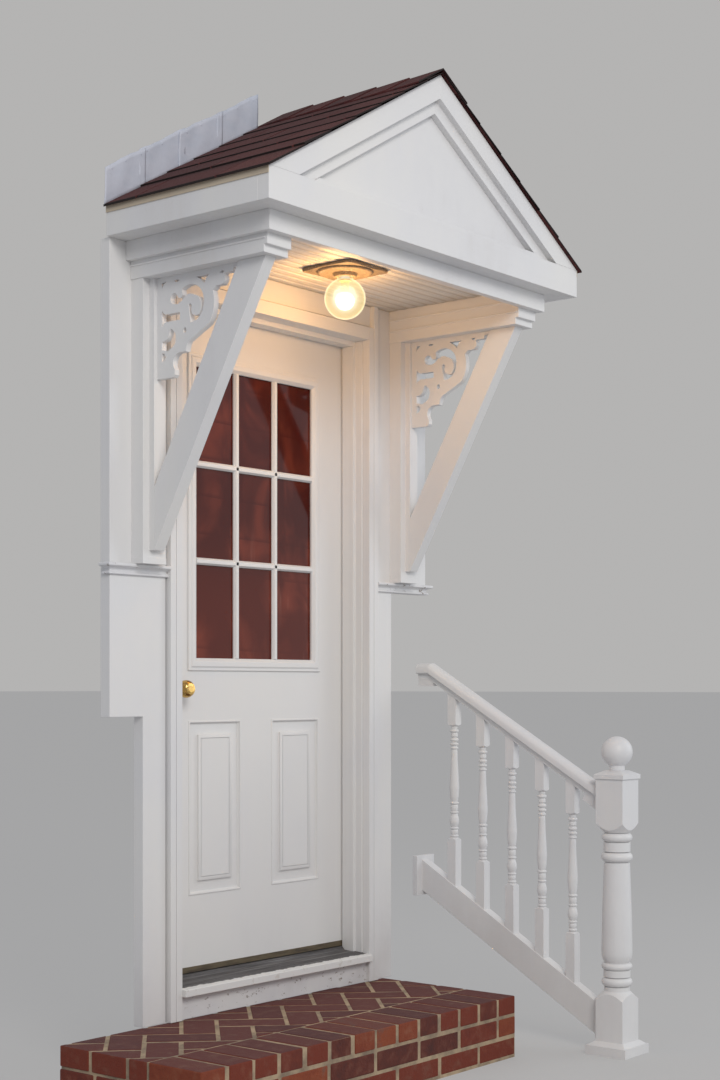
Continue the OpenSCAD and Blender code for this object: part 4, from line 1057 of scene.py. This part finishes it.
# The plate's outline is a square with cut corners, pushed in by a few sines; rings of it run
# over its edge, whose lower lip waves by two more. The pan's low ring, its collar and the socket
# are one turned profile. The globe is two spheres with a short neck.
def buildLamp():
    x, y = middleOf("lamp_plate")[:2]
    top = cornersOf("lamp_plate")[1][2]
    angle = np.arange(96) * 2 * math.pi / 96
    cosine, sine = np.cos(angle), np.sin(angle)
    square = np.maximum(np.abs(cosine), np.abs(sine))
    corner = (np.abs(cosine) + np.abs(sine)) / 1.90
    ragged = 0.008 * np.sin(angle * 7 + 1) + 0.006 * np.sin(angle * 17)
    ragged += 0.005 * np.sin(angle * 31 + 2)
    outline = lamp["plate"] / np.maximum(square, corner) * np.minimum(1 + ragged, 1)
    curl = 0.9 * (np.sin(angle * 3 + 0.6) + 0.6 * np.sin(angle * 5 + 2))
    share, drop = np.array(lamp["edge"]).T[..., None]
    rings = np.stack([x + outline * share * cosine, y + outline * share * sine,
                      top - (drop + curl * (drop > lamp["lip"])) * mm], -1)
    addPiece(layRings("lampPlate", rings), "rust", replaces="lamp_plate", smooth=40)
    pan = turnProfile("lampPan", np.array(lamp["pan"]) * mm, (x, y, top))
    addPiece(pan, "rust", smooth=35)

    low, high = cornersOf("lamp_globe")
    neck = lamp["neck"]
    rim = high[2] - low[2] - lamp["middle"] - 0.6 * mm
    walls = []
    for shrink in (0, lamp["wall"]):
        r = lamp["globe"] - shrink
        a = np.linspace(-math.pi / 2, math.acos((neck - shrink) / r), 40)
        walls.append([*np.column_stack([r * np.cos(a), r * np.sin(a)]), (neck - shrink, rim)])
    profile = np.concatenate([walls[0], walls[1][::-1]])
    profile[[0, -1], 0] = 0
    globe = turnProfile("globeShell", profile, (x, y, low[2] + lamp["middle"]))
    addPiece(globe, "globe", replaces="lamp_globe", smooth=40)


buildLamp()
print("lamp hung")

# Door: the light's bars, three panes by three, on both faces of the glass
light = {
    "columns": 3,
    "rows": 3,
    "bar": 22 * mm,
    "out": 12 * mm,
    "lip": 5 * mm,         # the frames' lap on the glass
}


# A bar's section is a flat nose with a sloping side to the glass, carried from end to end
def buildBars():
    low, high = cornersOf("door_glass")
    inner = [low + light["lip"], high - light["lip"]]
    half, nose, out = light["bar"] / 2, light["bar"] / 4, light["out"]
    section = np.array([[-half, 0], [-half, out * 0.35], [-nose, out], [nose, out],
                        [half, out * 0.35], [half, 0]])
    rings = []
    for face, away in ((low[1], -1), (high[1], 1)):
        for axis, count in ((0, light["columns"]), (2, light["rows"])):
            across = np.eye(3)[axis]
            for i in range(1, count):
                for end in inner:
                    place = end.copy()
                    place[axis] = inner[0][axis] + (inner[1] - inner[0])[axis] * i / count
                    place[1] = face
                    rings.append(place + section[:, :1] * across + section[:, 1:] * (0, away, 0))
    start = 12 * np.arange(len(rings) // 2)[:, None, None]
    sides = (gridFaces(2, 6, closeColumns=True) + start).reshape(-1, 4)
    ends = (np.array([[5, 4, 3, 2, 1, 0], [6, 7, 8, 9, 10, 11]]) + start).reshape(-1, 6)
    mesh = turnOutwards(layMesh("lightBars", rings, [sides, ends]))
    addPiece(mesh, "door", "door", bevel=0.8 * mm)


buildBars()

# Door: mouldings round the two lower panels, a sharp-edged field in each, and the strip at the foot
panels = {
    "wide": 228 * mm,
    "tall": 530 * mm,
    "foot": 236 * mm,      # leaf's lower edge to the panels
    "gap": 150 * mm,       # between the panels
    "field": 40 * mm,      # panel's edge to the field's edge
    "fieldOut": 1.2 * mm,
    "fieldIn": 3 * mm,
    "fieldEdge": 11 * mm,  # width of the field's border under its flat
    "border": [(0, -6), (0, 0.7), (0.7, 1.2), (12, 1.2), (12, -6)],    # inwards, out; in mm
    "bead": 3.2 * mm,      # radius of the moulding's bead
    "sunk": 0.6 * mm,      # its foot into the face
}
sweep = {"tall": 15 * mm, "out": 2.2 * mm, "below": 2.5 * mm, "inset": 3 * mm}


# A section of distance inwards and distance out of the face, carried round a rectangle with
# mitred corners
def frameArrays(centre, wide, tall, section, face, away):
    signs = np.array([[-1, -1], [1, -1], [1, 1], [-1, 1]], float)
    inward, out = np.asarray(section, float).T
    x = centre[0] + signs[:, :1] * (wide / 2 - inward)
    z = centre[1] + signs[:, 1:] * (tall / 2 - inward)
    y = face + away * out + 0 * x
    return np.stack([x, y, z], -1), gridFaces(4, len(inward), True, True)


def buildPanels():
    low, high = cornersOf("door_leaf")
    wide, tall, bead = panels["wide"], panels["tall"], panels["bead"]
    turn = np.linspace(0, math.pi, 7)[1:-1]
    arc = np.column_stack([-bead * np.cos(turn), bead * 0.75 * np.sin(turn)])
    foot = -panels["sunk"]
    moulding = np.concatenate([[[-bead, foot]], arc, [[bead, foot]]])
    border = np.array(panels["border"]) * mm + (panels["field"], 0)
    flat = np.array([wide, tall]) / 2 - panels["field"] - panels["fieldEdge"]
    parts = []
    for face, away in ((low[1], -1), (high[1], 1)):
        lowY, highY = sorted([face - away * panels["fieldIn"], face + away * panels["fieldOut"]])
        for side in (-1, 1):
            x = side * (panels["gap"] + wide) / 2
            z = low[2] + panels["foot"] + tall / 2
            for section in (moulding, border):
                parts.append(frameArrays((x, z), wide, tall, section, face, away))
            parts.append(boxArrays([[x - flat[0], lowY, z - flat[1]]],
                                   [[x + flat[0], highY, z + flat[1]]]))
    points, faces = joinParts(parts)
    mesh = turnOutwards(layMesh("panelMouldings", points, [faces]))
    addPiece(mesh, "door", "door", smooth=50)
    inset = sweep["inset"]
    points, faces = boxArrays(
        [[low[0] + inset, low[1] - sweep["out"], low[2] - sweep["below"]]],
        [[high[0] - inset, low[1] + 0.4 * mm, low[2] + sweep["tall"]]])
    addPiece(layMesh("doorSweep", points, [faces]), "sweep", "door", bevel=0.8 * mm)


buildPanels()
print("door dressed")

# Stage: a pale floor that fades into an even pale surround, and soft studio light
studio = {
    "floor": (0.56, 0.555, 0.55),
    "backdrop": (0.46, 0.455, 0.45),
    "evenShare": 0.55,     # how far the floor takes the backdrop's tone
    "reach": 300,          # of the floor from the middle, in metres
    "sky": (0.90, 0.93, 1.0),
    "skyStrength": 0.50,
    "key": 175,
    "fill": 58,
    "glow": 8,
}
reach = studio["reach"]
floorMesh = bpy.data.meshes.new("studioFloor")
floorMesh.from_pydata([(-reach, -reach, 0), (reach, -reach, 0), (reach, reach, 0),
                       (-reach, reach, 0)], [], [(0, 1, 2, 3)])
floor = bpy.data.objects.new("studioFloor", floorMesh)
sceneObjects.link(floor)
paving = Finish("floorFinish")
paving.link(Roughness=0.9, Base_Color=studio["floor"])
even = paving.node("Emission", {"Color": studio["backdrop"], "Strength": 1.0})
lit = Wire(paving, paving.shader.outputs[0])
both = paving.node("MixShader", {0: paving.shown() * studio["evenShare"], 1: lit, 2: even})
paving.feed(paving.tree.nodes["Material Output"].inputs["Surface"], both)
floorMesh.materials.append(paving.material)

world = bpy.data.worlds.new("studioWorld")
bpy.context.scene.world = world
world.use_nodes = True
sky = Nodes(world.node_tree)
soft = sky.node("Background", {"Color": studio["sky"], "Strength": studio["skyStrength"]})
even = sky.node("Background", {"Color": studio["backdrop"], "Strength": 1.0})
both = sky.node("MixShader", {0: sky.shown(), 1: soft, 2: even})
sky.feed(sky.tree.nodes["World Output"].inputs["Surface"], both)


def addLight(name, kind, place, aim, energy, colour, size):
    source = bpy.data.lights.new(name, kind)
    source.energy = energy
    source.color = colour
    if kind == "AREA":
        source.shape = "DISK"
        source.size = size
    else:
        source.shadow_soft_size = size
    holder = bpy.data.objects.new(name, source)
    holder.location = place
    holder.rotation_euler = (Vector(aim) - Vector(place)).to_track_quat("-Z", "Y").to_euler()
    sceneObjects.link(holder)


bulbPlace = (*middleOf("lamp_globe")[:2], cornersOf("lamp_globe")[0][2] + 50 * mm)
addLight("keyLight", "AREA", (-3.2, -5.4, 4.6), (0, -0.2, 1.3), studio["key"],
         (1.0, 0.97, 0.93), 2.6)
addLight("fillLight", "AREA", (4.8, -4.0, 2.6), (0, -0.2, 1.2), studio["fill"],
         (0.92, 0.96, 1.0), 3.5)
addLight("bulbGlow", "POINT", bulbPlace, (0, 0, 0), studio["glow"], (1.0, 0.52, 0.17), 0.05)
print("studio lit")
